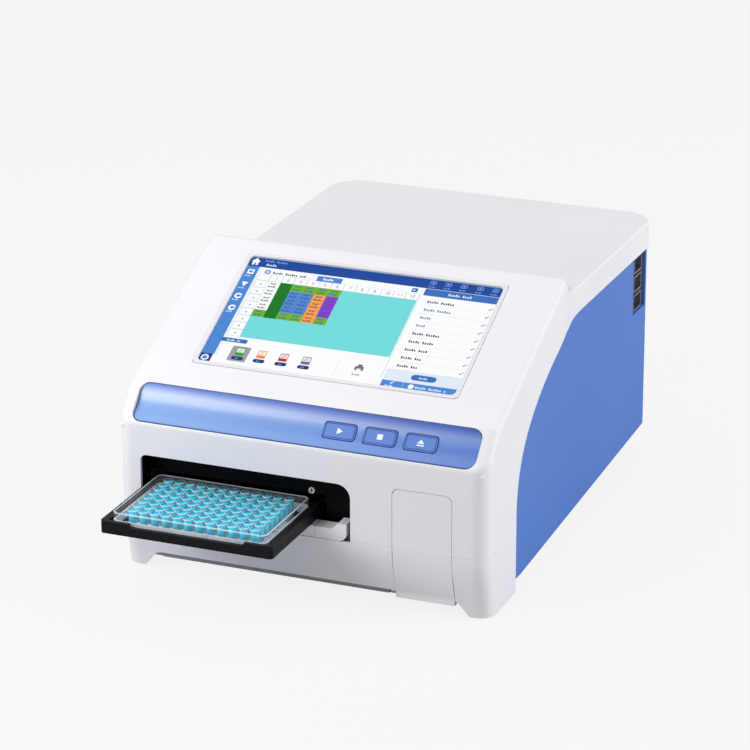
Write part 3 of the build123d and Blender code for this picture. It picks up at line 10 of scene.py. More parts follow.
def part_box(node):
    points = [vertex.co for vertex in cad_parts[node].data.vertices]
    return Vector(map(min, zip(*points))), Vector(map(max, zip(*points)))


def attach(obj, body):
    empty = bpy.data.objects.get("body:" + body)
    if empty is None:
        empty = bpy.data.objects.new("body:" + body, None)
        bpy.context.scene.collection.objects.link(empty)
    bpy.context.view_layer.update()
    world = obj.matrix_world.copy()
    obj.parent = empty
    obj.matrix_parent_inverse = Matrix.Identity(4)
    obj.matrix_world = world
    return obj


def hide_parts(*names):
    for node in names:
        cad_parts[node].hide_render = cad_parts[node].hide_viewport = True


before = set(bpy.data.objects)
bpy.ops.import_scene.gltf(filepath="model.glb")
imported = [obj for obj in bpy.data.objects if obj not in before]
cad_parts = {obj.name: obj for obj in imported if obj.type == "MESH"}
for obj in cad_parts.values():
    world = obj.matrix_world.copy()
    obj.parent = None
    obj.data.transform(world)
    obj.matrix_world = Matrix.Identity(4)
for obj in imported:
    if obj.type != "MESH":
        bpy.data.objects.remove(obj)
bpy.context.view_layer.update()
MM = 0.001
BROAD_NOISE = 6.0
CONSOLE_SLOPE_DEGREES = 25.9
STRIP_RISE, STRIP_RUN = 25.3, 24.0
GLASS_THICKNESS = 1.6 * MM
ARC_STEPS = 4
ARC_ANGLE = 90 / ARC_STEPS

# ---------------------------------------------------------------- places taken from the frame
screen_low, screen_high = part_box("touch_glass")
strip_low, strip_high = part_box("control_strip")
plate_low, plate_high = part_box("microplate")
SLOPE = math.radians(CONSOLE_SLOPE_DEGREES)
STRIP_TILT = math.atan2(STRIP_RISE, STRIP_RUN)
strip_up = Vector((0, math.cos(STRIP_TILT), math.sin(STRIP_TILT)))
strip_out = Vector((0, -math.sin(STRIP_TILT), math.cos(STRIP_TILT)))
SCREEN_WIDTH = screen_high.x - screen_low.x
SCREEN_HEIGHT = (
    screen_high.y - screen_low.y - GLASS_THICKNESS * math.sin(SLOPE)
) / math.cos(SLOPE)


# ---------------------------------------------------------------- colours and materials
def linear(red, green, blue):
    """A colour written as 0-255 screen values, as the linear values that shaders take."""
    values = []
    for value in (red, green, blue):
        share = value / 255
        values.append(share / 12.92 if share <= 0.04045 else ((share + 0.055) / 1.055) ** 2.4)
    return (*values, 1.0)


def new_material(name):
    """A fresh node material and its principled shader."""
    material = bpy.data.materials.new(name)
    material.use_nodes = True
    shader = material.node_tree.nodes["Principled BSDF"]
    return material, shader


def add_bump(material, shader, scale, distance):
    """Fine surface texture from noise in object space."""
    tree = material.node_tree
    place = tree.nodes.new("ShaderNodeTexCoord")
    noise = tree.nodes.new("ShaderNodeTexNoise")
    noise.inputs["Scale"].default_value = scale
    noise.inputs["Detail"].default_value = 2.0
    bump = tree.nodes.new("ShaderNodeBump")
    bump.inputs["Strength"].default_value = 1.0
    bump.inputs["Distance"].default_value = distance
    tree.links.new(place.outputs["Object"], noise.inputs["Vector"])
    tree.links.new(noise.outputs["Fac"], bump.inputs["Height"])
    tree.links.new(bump.outputs["Normal"], shader.inputs["Normal"])


def add_variation(material, shader, low, high, scale, rough_low, rough_high):
    """Slow colour and roughness variation, from one broad noise."""
    tree = material.node_tree
    place = tree.nodes.new("ShaderNodeTexCoord")
    noise = tree.nodes.new("ShaderNodeTexNoise")
    noise.inputs["Scale"].default_value = scale
    noise.inputs["Detail"].default_value = 3.0
    colour = tree.nodes.new("ShaderNodeValToRGB")
    colour.color_ramp.elements[0].position = 0.35
    colour.color_ramp.elements[0].color = low
    colour.color_ramp.elements[1].position = 0.65
    colour.color_ramp.elements[1].color = high
    rough = tree.nodes.new("ShaderNodeMapRange")
    rough.inputs["From Min"].default_value = 0.3
    rough.inputs["From Max"].default_value = 0.7
    rough.inputs["To Min"].default_value = rough_low
    rough.inputs["To Max"].default_value = rough_high
    tree.links.new(place.outputs["Object"], noise.inputs["Vector"])
    tree.links.new(noise.outputs["Fac"], colour.inputs["Fac"])
    tree.links.new(noise.outputs["Fac"], rough.inputs["Value"])
    tree.links.new(colour.outputs["Color"], shader.inputs["Base Color"])
    tree.links.new(rough.outputs["Result"], shader.inputs["Roughness"])


def textured(name, low, high, rough, grain, depth, shine=0.5):
    """A fine grain, its depth in millimetres, and a slow variation between two screen colours."""
    material, shader = new_material(name)
    add_variation(material, shader, linear(*low), linear(*high), BROAD_NOISE, *rough)
    add_bump(material, shader, grain, depth * MM)
    shader.inputs["Specular IOR Level"].default_value = shine
    return material


def make_brushed(name, low, high, rough, stretch):
    """Metal with fine lines along one axis, between two screen colours."""
    material, shader = new_material(name)
    tree = material.node_tree
    place = tree.nodes.new("ShaderNodeTexCoord")
    mapping = tree.nodes.new("ShaderNodeMapping")
    mapping.inputs["Scale"].default_value = stretch
    noise = tree.nodes.new("ShaderNodeTexNoise")
    noise.inputs["Scale"].default_value = 40.0
    noise.inputs["Detail"].default_value = 4.0
    colour = tree.nodes.new("ShaderNodeValToRGB")
    colour.color_ramp.elements[0].color = linear(*low)
    colour.color_ramp.elements[1].color = linear(*high)
    bump = tree.nodes.new("ShaderNodeBump")
    bump.inputs["Distance"].default_value = 0.02 * MM
    tree.links.new(place.outputs["Object"], mapping.inputs["Vector"])
    tree.links.new(mapping.outputs["Vector"], noise.inputs["Vector"])
    tree.links.new(noise.outputs["Fac"], colour.inputs["Fac"])
    tree.links.new(noise.outputs["Fac"], bump.inputs["Height"])
    tree.links.new(colour.outputs["Color"], shader.inputs["Base Color"])
    tree.links.new(bump.outputs["Normal"], shader.inputs["Normal"])
    shader.inputs["Metallic"].default_value = 1.0
    shader.inputs["Roughness"].default_value = rough
    return material


HOUSING = textured("housing_plastic", (232, 231, 238), (236, 235, 241), (0.42, 0.50), 2600, 0.02)
PANEL = textured("panel_blue", (77, 121, 199), (83, 126, 203), (0.48, 0.56), 1800, 0.03, 0.35)
REAR = textured("rear_grey", (196, 198, 204), (202, 204, 209), (0.40, 0.50), 1800, 0.03)
BLACK = textured("black_plastic", (4, 4, 6), (7, 7, 10), (0.42, 0.55), 2200, 0.04, 0.1)
CARRIER = textured("carrier_black", (14, 15, 18), (20, 21, 25), (0.34, 0.44), 2600, 0.03, 0.14)
BEZEL = textured("bezel_grey", (222, 222, 227), (228, 228, 232), (0.40, 0.48), 2600, 0.02)
RUBBER = textured("rubber", (18, 18, 18), (26, 26, 26), (0.75, 0.90), 900, 0.06)
BOARD = textured("board_green", (20, 78, 44), (26, 90, 52), (0.30, 0.42), 700, 0.02)
CHIP = textured("chip_black", (20, 20, 22), (30, 30, 32), (0.45, 0.60), 1500, 0.02)
MARK = textured("white_print", (240, 242, 246), (250, 251, 253), (0.40, 0.50), 2600, 0.01)
# painted shade: the dark ring at each button's edge stands for the shade in the gap round it
GAP_SHADE = textured("navy_gap_shade", (22, 52, 136), (28, 60, 146), (0.40, 0.50), 2600, 0.01)
SCREW = textured("screw_zinc", (214, 217, 222), (232, 234, 238), (0.25, 0.35), 1500, 0.01, 0.7)
# painted shade of a screw's cross recess
RECESS_SHADE = textured("recess_painted_shade", (12, 12, 13), (20, 20, 22), (0.50, 0.60), 2600, 0.01)
STEEL = make_brushed("steel", (150, 152, 156), (190, 192, 196), 0.32, (1, 12, 12))
ALUMINIUM = make_brushed("aluminium", (178, 180, 184), (206, 208, 211), 0.38, (12, 1, 12))
BRASS = make_brushed("brass", (176, 140, 70), (208, 172, 96), 0.30, (6, 6, 1))
PAN = make_brushed("zinc_sheet", (140, 142, 147), (172, 174, 178), 0.45, (3, 3, 3))


def make_strip():
    """The control strip's blue with painted light: painted shade at the top edge under the
    console's overhang, a painted reflection as the pale band below it, painted shade deepening to
    the right, and a painted shadow line along the bottom edge.
    """
    material, shader = new_material("strip_blue_painted_light")
    tree = material.node_tree
    place = tree.nodes.new("ShaderNodeTexCoord")
    rise = tree.nodes.new("ShaderNodeVectorMath")
    rise.operation = "DOT_PRODUCT"
    rise.inputs[1].default_value = strip_up
    height = tree.nodes.new("ShaderNodeMapRange")
    height.inputs["From Min"].default_value = strip_low.dot(strip_up)
    height.inputs["From Max"].default_value = strip_high.dot(strip_up)
    painted_light_bands = tree.nodes.new("ShaderNodeValToRGB")
    # painted light by height: a painted shadow line at the bottom edge, a painted reflection as the
    # pale band, painted shade at the top edge
    stops = [
        (0.02, linear(62, 88, 170)),
        (0.06, linear(122, 164, 224)),
        (0.50, linear(138, 175, 230)),
        (0.76, linear(184, 200, 236)),
        (0.93, linear(104, 138, 214)),
    ]
    ramp = painted_light_bands.color_ramp
    for position, colour in stops[1:-1]:
        ramp.elements.new(position).color = colour
    ramp.elements[0].position, ramp.elements[0].color = stops[0]
    ramp.elements[-1].position, ramp.elements[-1].color = stops[-1]
    split = tree.nodes.new("ShaderNodeSeparateXYZ")
    across = tree.nodes.new("ShaderNodeMapRange")
    across.inputs["From Min"].default_value = strip_low.x
    across.inputs["From Max"].default_value = strip_high.x
    # painted shade: darker towards the right end
    painted_shade_fade = tree.nodes.new("ShaderNodeValToRGB")
    painted_shade_fade.color_ramp.elements[0].color = (1, 1, 1, 1)
    painted_shade_fade.color_ramp.elements[1].color = (0.42, 0.52, 0.80, 1)
    mix = tree.nodes.new("ShaderNodeMix")
    mix.data_type = "RGBA"
    mix.blend_type = "MULTIPLY"
    mix.inputs["Factor"].default_value = 1.0
    tree.links.new(place.outputs["Object"], rise.inputs[0])
    tree.links.new(rise.outputs["Value"], height.inputs["Value"])
    tree.links.new(height.outputs["Result"], painted_light_bands.inputs["Fac"])
    tree.links.new(place.outputs["Object"], split.inputs["Vector"])
    tree.links.new(split.outputs["X"], across.inputs["Value"])
    tree.links.new(across.outputs["Result"], painted_shade_fade.inputs["Fac"])
    tree.links.new(painted_light_bands.outputs["Color"], mix.inputs["A"])
    tree.links.new(painted_shade_fade.outputs["Color"], mix.inputs["B"])
    tree.links.new(mix.outputs["Result"], shader.inputs["Base Color"])
    add_bump(material, shader, 3000, 0.008 * MM)
    shader.inputs["Roughness"].default_value = 0.28
    shader.inputs["Coat Weight"].default_value = 0.2
    shader.inputs["Coat Roughness"].default_value = 0.15
    return material


def make_button():
    """The same blue for the button caps."""
    material, shader = new_material("button_blue")
    add_variation(material, shader, linear(90, 130, 208), linear(96, 136, 212), 20.0, 0.30, 0.36)
    add_bump(material, shader, 3000, 0.008 * MM)
    shader.inputs["Coat Weight"].default_value = 0.2
    shader.inputs["Coat Roughness"].default_value = 0.15
    return material


def make_lens():
    """Coated glass of the lenses and filters."""
    material, shader = new_material("coated_glass")
    add_variation(material, shader, linear(70, 60, 140), linear(90, 110, 190), 60.0, 0.04, 0.08)
    add_bump(material, shader, 400, 0.004 * MM)
    shader.inputs["Coat Weight"].default_value = 1.0
    shader.inputs["Coat Roughness"].default_value = 0.03
    return material


def make_film(name, low, high, cover):
    """Thin clear moulded plastic; cover is the share of what lies behind that it hides."""
    material, shader = new_material(name)
    add_variation(material, shader, low, high, 60.0, 0.08, 0.14)
    add_bump(material, shader, 300, 0.02 * MM)
    shader.inputs["Alpha"].default_value = cover
    shader.inputs["Specular IOR Level"].default_value = 0.8
    return material


def make_liquid():
    """Cyan sample liquid."""
    material, shader = new_material("sample_liquid")
    add_variation(material, shader, linear(0, 200, 236), linear(40, 220, 248), 90.0, 0.06, 0.12)
    add_bump(material, shader, 260, 0.05 * MM)
    shader.inputs["Coat Weight"].default_value = 0.3
    return material


def make_glass():
    """The touch glass with its black printed back."""
    material, shader = new_material("touch_glass")
    add_variation(material, shader, linear(10, 12, 16), linear(14, 16, 20), 8.0, 0.05, 0.08)
    add_bump(material, shader, 200, 0.002 * MM)
    return material


STRIP = make_strip()
BUTTON = make_button()
LENS = make_lens()
LIQUID = make_liquid()
GLASS = make_glass()
FILM = make_film("clear_film", linear(214, 228, 236), linear(236, 244, 248), 0.06)
# painted highlight: a whiter, denser clear for the glints on the well rims and the deck's edge
RIM = make_film("clear_rim_painted_highlight", linear(226, 236, 242), linear(248, 251, 253), 0.72)
FROST = make_film("clear_skirt", linear(206, 210, 222), linear(226, 229, 238), 0.94)

NODE_MATERIALS = {
    "upper_housing": HOUSING,
    "access_cover": HOUSING,
    "plate_shutter": HOUSING,
    "side_panel_left": PANEL,
    "side_panel_right": PANEL,
    "rear_panel": REAR,
    "base_pan": PAN,
    "rubber_feet": RUBBER,
    "slot_liner": BLACK,
    "liner_screws": SCREW,
    "panel_screws": STEEL,
    "display_bezel": BEZEL,
    "touch_glass": GLASS,
    "display_module": PAN,
    "control_strip": STRIP,
    "start_button": BUTTON,
    "stop_button": BUTTON,
    "plate_button": BUTTON,
    "button_board": BOARD,
    "plate_carrier": CARRIER,
    "guide_rail": STEEL,
    "rail_blocks": STEEL,
    "transport_deck": ALUMINIUM,
    "drive_motor": BLACK,
    "idler_pin": STEEL,
    "motor_pulley": ALUMINIUM,
    "idler_pulley": ALUMINIUM,
    "drive_belt": RUBBER,
    "belt_clamp": ALUMINIUM,
    "detector_bar": BLACK,
    "read_head": BLACK,
    "head_lenses": LENS,
    "head_posts": ALUMINIUM,
    "filter_wheel": BLACK,
    "filters": LENS,
    "wheel_motor": BLACK,
    "wheel_bracket": ALUMINIUM,
    "fibre_coupler": ALUMINIUM,
    "fibre_bundle": RUBBER,
    "lamp_housing": ALUMINIUM,
    "board_standoffs": BRASS,
    "main_board": BOARD,
    "board_parts": CHIP,
    "power_supply": PAN,
    "fan_frame": BLACK,
    "fan_rotor": BLACK,
    "fan_guard": STEEL,
    "power_inlet": BLACK,
    "inlet_pins": BRASS,
    "switch_frame": BLACK,
    "power_switch": CHIP,
    "io_bracket": PAN,
    "data_sockets": STEEL,
}
for node, material in NODE_MATERIALS.items():
    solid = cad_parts[node]
    solid.data.materials.clear()
    solid.data.materials.append(material)


# ---------------------------------------------------------------- mesh helpers
def add_object(name, mesh, material, body):
    """Links a mesh as a piece that rides on a body."""
    piece = bpy.data.objects.new(name, mesh)
    bpy.context.scene.collection.objects.link(piece)
    piece.data.materials.append(material)
    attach(piece, body)
    return piece


def make_mesh(name, build):
    """A mesh filled by a function that gets an empty bmesh."""
    mesh = bpy.data.meshes.new(name)
    shape = bmesh.new()
    build(shape)
    bmesh.ops.recalc_face_normals(shape, faces=shape.faces)
    shape.to_mesh(mesh)
    shape.free()
    return mesh


# ---------------------------------------------------------------- the display's picture
SCREEN_LIFT = 0.08 * MM
LAYER = 0.03 * MM
screen_right = Vector((1, 0, 0))
screen_up = Vector((0, math.cos(SLOPE), math.sin(SLOPE)))
screen_out = Vector((0, -math.sin(SLOPE), math.cos(SLOPE)))
glass_points = [vertex.co.copy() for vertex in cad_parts["touch_glass"].data.vertices]
face_level = max(point.dot(screen_out) for point in glass_points)
glass_rises = [point.dot(screen_up) for point in glass_points]
screen_centre_up = (max(glass_rises) + min(glass_rises)) / 2
screen_origin = screen_out * face_level + screen_up * screen_centre_up


def screen_spot(across, down, layer):
    """A point of the display, from shares of its width and height counted from the top left."""
    return (
        screen_origin
        + screen_right * ((across - 0.5) * SCREEN_WIDTH)
        + screen_up * ((0.5 - down) * SCREEN_HEIGHT)
        + screen_out * (SCREEN_LIFT + LAYER * layer)
    )


def make_ink(name, colour):
    """A lit colour of the display, slightly uneven as a backlight is, behind a dark front."""
    material, shader = new_material("ink_" + name)
    tree = material.node_tree
    place = tree.nodes.new("ShaderNodeTexCoord")
    noise = tree.nodes.new("ShaderNodeTexNoise")
    noise.inputs["Scale"].default_value = 12.0
    ramp = tree.nodes.new("ShaderNodeValToRGB")
    ramp.color_ramp.elements[0].color = tuple(value * 0.96 for value in colour[:3]) + (1.0,)
    ramp.color_ramp.elements[1].color = colour
    tree.links.new(place.outputs["Object"], noise.inputs["Vector"])
    tree.links.new(noise.outputs["Fac"], ramp.inputs["Fac"])
    tree.links.new(ramp.outputs["Color"], shader.inputs["Emission Color"])
    shader.inputs["Emission Strength"].default_value = 1.0
    shader.inputs["Base Color"].default_value = linear(5, 5, 6)
    shader.inputs["Specular IOR Level"].default_value = 0.05
    shader.inputs["Roughness"].default_value = 0.3
    return material


INK_COLOURS = {
    "white": (252, 253, 254),
    "navy": (24, 72, 156),
    "side": (76, 136, 214),
    "corner": (22, 56, 126),
    "teal": (116, 220, 222),
    "grid": (158, 196, 192),
    "light_green": (112, 180, 40),
    "dark_green": (8, 124, 20),
    "blue": (84, 134, 204),
    "orange": (246, 160, 84),
    "purple": (134, 62, 206),
    "title": (56, 112, 188),
    "pale": (226, 236, 250),
    "text": (52, 56, 72),
    "soft_text": (112, 128, 180),
    "line": (218, 224, 232),
    "tile": (160, 162, 168),
    "green_icon": (44, 160, 52),
    "orange_icon": (240, 138, 48),
    "red_icon": (200, 40, 36),
    "grey_icon": (112, 114, 122),
    "pill": (44, 84, 158),
    "status": (74, 138, 212),
    "head_text": (120, 160, 226),
    "dim": (52, 96, 60),
}
INKS = {name: make_ink(name, linear(*colour)) for name, colour in INK_COLOURS.items()}
INK_NAMES = list(INKS)
picture = bmesh.new()


def paint(points, ink, layer):
    """One flat patch of the picture through points given as shares of the screen."""
    corners = [picture.verts.new(screen_spot(x, y, layer)) for x, y in points]
    face = picture.faces.new(corners)
    face.material_index = INK_NAMES.index(ink)


def paint_box(left, top, right, bottom, ink, layer):
    """A rectangle of the picture."""
    paint([(left, top), (left, bottom), (right, bottom), (right, top)], ink, layer)


def paint_round(left, top, right, bottom, radius, ink, layer, corners=(1, 1, 1, 1)):
    """A rectangle with rounded corners; radius is a share of the screen's height."""
    squeeze = SCREEN_HEIGHT / SCREEN_WIDTH
    points = []
    centres = [
        (left + radius * squeeze, top + radius, 180, corners[0], (left, top)),
        (right - radius * squeeze, top + radius, 270, corners[1], (right, top)),
        (right - radius * squeeze, bottom - radius, 0, corners[2], (right, bottom)),
        (left + radius * squeeze, bottom - radius, 90, corners[3], (left, bottom)),
    ]
    for centre_x, centre_y, start, rounded, corner in centres:
        if not rounded:
            points.append(corner)
            continue
        for step in range(ARC_STEPS + 1):
            angle = math.radians(start + ARC_ANGLE * step)
            points.append(
                (centre_x + radius * squeeze * math.cos(angle), centre_y + radius * math.sin(angle))
            )
    paint(points[::-1], ink, layer)


def paint_disc(centre_x, centre_y, radius, ink, layer, sides=20):
    """A disc of the picture."""
    squeeze = SCREEN_HEIGHT / SCREEN_WIDTH
    angles = [2 * math.pi * index / sides for index in range(sides)]
    paint(
        [
            (centre_x + radius * squeeze * math.cos(angle), centre_y - radius * math.sin(angle))
            for angle in angles
        ],
        ink,
        layer,
    )


# a line of marks: their step and low height as shares of the line's size, their width as a share
# of the step, and which mark of a group is left out
MARK_STEP = 0.42
LOW_MARK = 0.7
MARK_WIDTH = 0.66
GROUP, GAP = 7, 5
TALL_EVERY = 3


def paint_words(left, middle, length, size, ink, layer):
    """Small marks in groups that look like a line of text and spell nothing."""
    step = size * MARK_STEP
    bottom = middle + size / 2
    for index in range(int(length / step)):
        if index % GROUP == GAP:
            continue
        tall = size if index % TALL_EVERY == 0 else size * LOW_MARK
        start = left + index * step
        paint_box(start, bottom - tall, start + step * MARK_WIDTH, bottom, ink, layer)


# the main areas, as shares of the screen
HEADER = 0.085
SIDE = 0.055
HEAD_LEFT = 0.062
COLUMN = 0.049
HEAD_TOP = 0.145
FIRST_ROW = 0.206
ROW = 0.0665
TABLE_COLUMNS, TABLE_ROWS = 12, 8
TABLE_RIGHT = HEAD_LEFT + (TABLE_COLUMNS + 1) * COLUMN
TABLE_BOTTOM = FIRST_ROW + TABLE_ROWS * ROW
GROUP_COLUMNS, GROUP_ROWS = 6, 5
LIST_LEFT = 0.712
LIST_TITLE = 0.151
LIST_FIRST, LIST_STEP = 0.204, 0.0742
TICK = (
    ((0.977, 0.002), (0.982, 0.012), (0.984, 0.006), (0.979, -0.002)),
    ((0.982, 0.012), (0.994, -0.012), (0.991, -0.014), (0.981, 0.004)),
)
LIST_LENGTHS = (0.119, 0.107, 0.052, 0.036, 0.108, 0.104, 0.093, 0.081, 0.087)
BAND_TOP = 0.840
STATUS = 0.936
CORNER_TOP = 0.920
SCREEN_CORNER = 4.0 * MM / SCREEN_HEIGHT
HEADER_ICONS = (0.730, 0.790, 0.850, 0.913, 0.972)
SIDE_ICON_MIDDLE = 0.024
SIDE_ICON_LEVELS = (0.140, 0.258, 0.372, 0.486)
FILE_ICONS = (
    (0.143, "green_icon"),
    (0.228, "orange_icon"),
    (0.314, "red_icon"),
    (0.403, "grey_icon"),
)
FILE_ICON_LEVEL = 0.875


def paint_areas():
    """Background, header, side bar with its dark corner and the lines between the areas."""
    paint_round(0, 0, 1, 1, SCREEN_CORNER, "white", 0)
    paint_round(0, 0, 1, HEADER, SCREEN_CORNER, "navy", 1, (1, 1, 0, 0))
    paint_box(0, HEADER, SIDE - 0.005, CORNER_TOP, "side", 1)
    paint_round(0, CORNER_TOP, SIDE - 0.009, 1, SCREEN_CORNER, "corner", 1, (0, 0, 0, 1))
    paint_disc(0.021, 0.957, 0.028, "pale", 2)
    paint_disc(0.021, 0.957, 0.015, "side", 3)
    for left in (SIDE, TABLE_RIGHT + 0.002):
        paint_box(left, HEADER + 0.01, left + 0.0012, STATUS, "grid", 2)
        paint_box(left + 0.004, HEADER + 0.01, left + 0.0052, STATUS, "line", 2)


def paint_home():
    """The house icon at the top left."""
    paint([(0.006, 0.040), (0.042, 0.040), (0.024, 0.006)], "white", 2)
    paint_box(0.012, 0.038, 0.036, 0.072, "white", 2)
    paint_box(0.021, 0.052, 0.027, 0.072, "navy", 3)


def paint_header():
    """Heading and the row of outlined icons with labels in the header."""
    paint_words(0.060, 0.022, 0.095, 0.018, "head_text", 2)
    paint_words(0.071, 0.058, 0.052, 0.020, "pale", 2)
    for middle in HEADER_ICONS:
        paint_round(middle - 0.012, 0.010, middle + 0.012, 0.046, 0.010, "head_text", 2)
        paint_round(middle - 0.009, 0.015, middle + 0.009, 0.041, 0.007, "navy", 3)
        paint_disc(middle, 0.028, 0.009, "head_text", 4, 8)
        paint_words(middle - 0.014, 0.066, 0.028, 0.013, "head_text", 2)


def paint_side_icons():
    """Four icons of the side bar, each with a small label."""
    middle = SIDE_ICON_MIDDLE
    left, right = middle - 0.013, middle + 0.013
    for index, level in enumerate(SIDE_ICON_LEVELS):
        if index == 0:
            paint_round(left, level - 0.024, right, level + 0.020, 0.006, "white", 2)
            paint_box(middle - 0.007, level - 0.012, middle + 0.007, level + 0.006, "side", 3)
        elif index == 1:
            top = level - 0.020
            paint([(left, top), (middle, level + 0.024), (right, top)], "white", 2)
        else:
            paint_disc(middle, level, 0.026, "white", 2)
            paint_disc(middle, level, 0.012, "side", 3)
            slot_left = middle + 0.004 * (index - 2)
            paint_box(slot_left, level - 0.006, middle + 0.014, level + 0.004, "side", 4)
        paint_words(middle - 0.016, level + 0.038, 0.032, 0.012, "pale", 2)


def cell_box(column, row):
    """A cell of the plate table: column 0 and row 0 hold the heads."""
    left = HEAD_LEFT + COLUMN * column
    if row == 0:
        return left, HEAD_TOP, left + COLUMN, FIRST_ROW
    top = FIRST_ROW + ROW * (row - 1)
    return left, top, left + COLUMN, top + ROW


# the strokes of a plain digit: a top bar, g middle bar, d lower bar, f and b the upper sides,
# e and c the lower sides
DIGITS = {
    "0": "abcdef",
    "1": "bc",
    "2": "abged",
    "3": "abgcd",
    "4": "fgbc",
    "5": "afgcd",
    "6": "afgedc",
    "7": "abc",
    "8": "abcdefg",
    "9": "abcdfg",
}
DIGIT_WIDTH = 0.30
DIGIT_STROKE = 0.14
DIGIT_STEP = 1.7


def paint_number(number, centre_x, centre_y, size):
    """A plain number in seven strokes a digit."""
    digits = str(number)
    wide, thick = size * DIGIT_WIDTH, size * DIGIT_STROKE
    for index, digit in enumerate(digits):
        middle = centre_x + (index - (len(digits) - 1) / 2) * wide * DIGIT_STEP
        left, right = middle - wide / 2, middle + wide / 2
        top, bottom = centre_y - size / 2, centre_y + size / 2
        strokes = {
            "a": (left, top, right, top + thick),
            "g": (left, centre_y - thick / 2, right, centre_y + thick / 2),
            "d": (left, bottom - thick, right, bottom),
            "f": (left, top, left + thick / 2, centre_y),
            "b": (right - thick / 2, top, right, centre_y),
            "e": (left, centre_y, left + thick / 2, bottom),
            "c": (right - thick / 2, centre_y, right, bottom),
        }
        for stroke in DIGITS[digit]:
            paint_box(*strokes[stroke], "soft_text", 4)


def paint_head(column, row):
    """A white head cell with its thin outline."""
    left, top, right, bottom = cell_box(column, row)
    paint_box(left, top, right, bottom, "grid", 2)
    paint_box(left + 0.001, top + 0.002, right - 0.001, bottom - 0.002, "white", 3)
    return (left + right) / 2, (top + bottom) / 2


def paint_table():
    """The plate table: numbered heads, marks before the rows and the teal wells."""
    paint_box(HEAD_LEFT + COLUMN, FIRST_ROW, TABLE_RIGHT, TABLE_BOTTOM, "teal", 1)
    for column in range(TABLE_COLUMNS + 1):
        middle, level = paint_head(column, 0)
        if column:
            paint_number(column, middle, level, 0.026)
    for row in range(1, TABLE_ROWS + 1):
        middle, level = paint_head(0, row)
        foot = level + 0.009
        mark = [(middle - 0.004, foot), (middle + 0.004, foot), (middle, level - 0.009)]
        paint(mark, "soft_text", 4)


def group_ink(column, row):
    """Which colour group a well of the table belongs to."""
    if column == 1:
        return "white" if row < 5 else "light_green"
    if column == 2:
        return "dark_green"
    if row == 1:
        return "light_green"
    if column in (3, 4):
        return "blue" if row < 5 else "light_green"
    if column == 5:
        return "orange"
    return "purple" if row < 5 else "light_green"


def paint_groups():
    """The coloured wells with two short lines of marks in each."""
    for column in range(1, GROUP_COLUMNS + 1):
        for row in range(1, GROUP_ROWS + 1):
            left, top, right, bottom = cell_box(column, row)
            ink = group_ink(column, row)
            paint_box(left, top, right, bottom, ink, 2)
            marks = {"dark_green": "dim", "white": "text", "orange": "text"}.get(ink, "pill")
            paint_words(left + 0.012, top + 0.018, 0.026, 0.014, marks, 3)
            paint_words(left + 0.008, top + 0.046, 0.034, 0.015, marks, 3)


def paint_table_bar():
    """The bar over the table: icon, title, tab and a small icon at its right end."""
    paint_round(0.078, 0.105, 0.100, 0.141, 0.008, "side", 2)
    paint_round(0.083, 0.114, 0.095, 0.132, 0.005, "pale", 3)
    paint_words(0.111, 0.124, 0.138, 0.020, "text", 2)
    paint_round(0.288, 0.099, 0.388, 0.148, 0.006, "side", 4)
    paint_words(0.314, 0.124, 0.050, 0.020, "white", 5)
    paint_round(0.662, 0.097, 0.685, 0.135, 0.006, "title", 2)
    paint_words(0.667, 0.116, 0.014, 0.014, "pale", 3)


def paint_file_icon(middle, level, ink):
    """A plain page with three lines and a coloured foot, and a label below."""
    paint_round(middle - 0.017, level - 0.042, middle + 0.017, level + 0.028, 0.006, ink, 3)
    paint_box(middle - 0.014, level - 0.035, middle + 0.014, level + 0.002, "white", 4)
    for line in range(3):
        top = level - 0.029 + 0.011 * line
        paint_box(middle - 0.010, top, middle + 0.010, top + 0.004, ink, 5)
    paint_round(middle - 0.023, level + 0.038, middle + 0.023, level + 0.070, 0.015, "corner", 5)
    paint_words(middle - 0.009, level + 0.054, 0.020, 0.012, "head_text", 6)


def paint_bottom_bar():
    """The lower bar: a pill, four file icons, a divider and a printer."""
    paint_round(0.046, 0.758, 0.150, 0.794, 0.008, "title", 3)
    paint_words(0.070, 0.777, 0.055, 0.016, "pale", 4)
    paint_round(0.106, 0.822, 0.178, 0.958, 0.010, "tile", 2)
    for middle, ink in FILE_ICONS:
        paint_file_icon(middle, FILE_ICON_LEVEL, ink)
    paint_box(0.523, 0.820, 0.5245, 0.965, "line", 2)
    paint_box(0.600, 0.836, 0.618, 0.856, "grey_icon", 3)
    paint_round(0.592, 0.854, 0.626, 0.890, 0.006, "grey_icon", 3)
    paint_box(0.601, 0.874, 0.617, 0.900, "white", 4)
    paint_words(0.592, 0.928, 0.036, 0.015, "soft_text", 3)


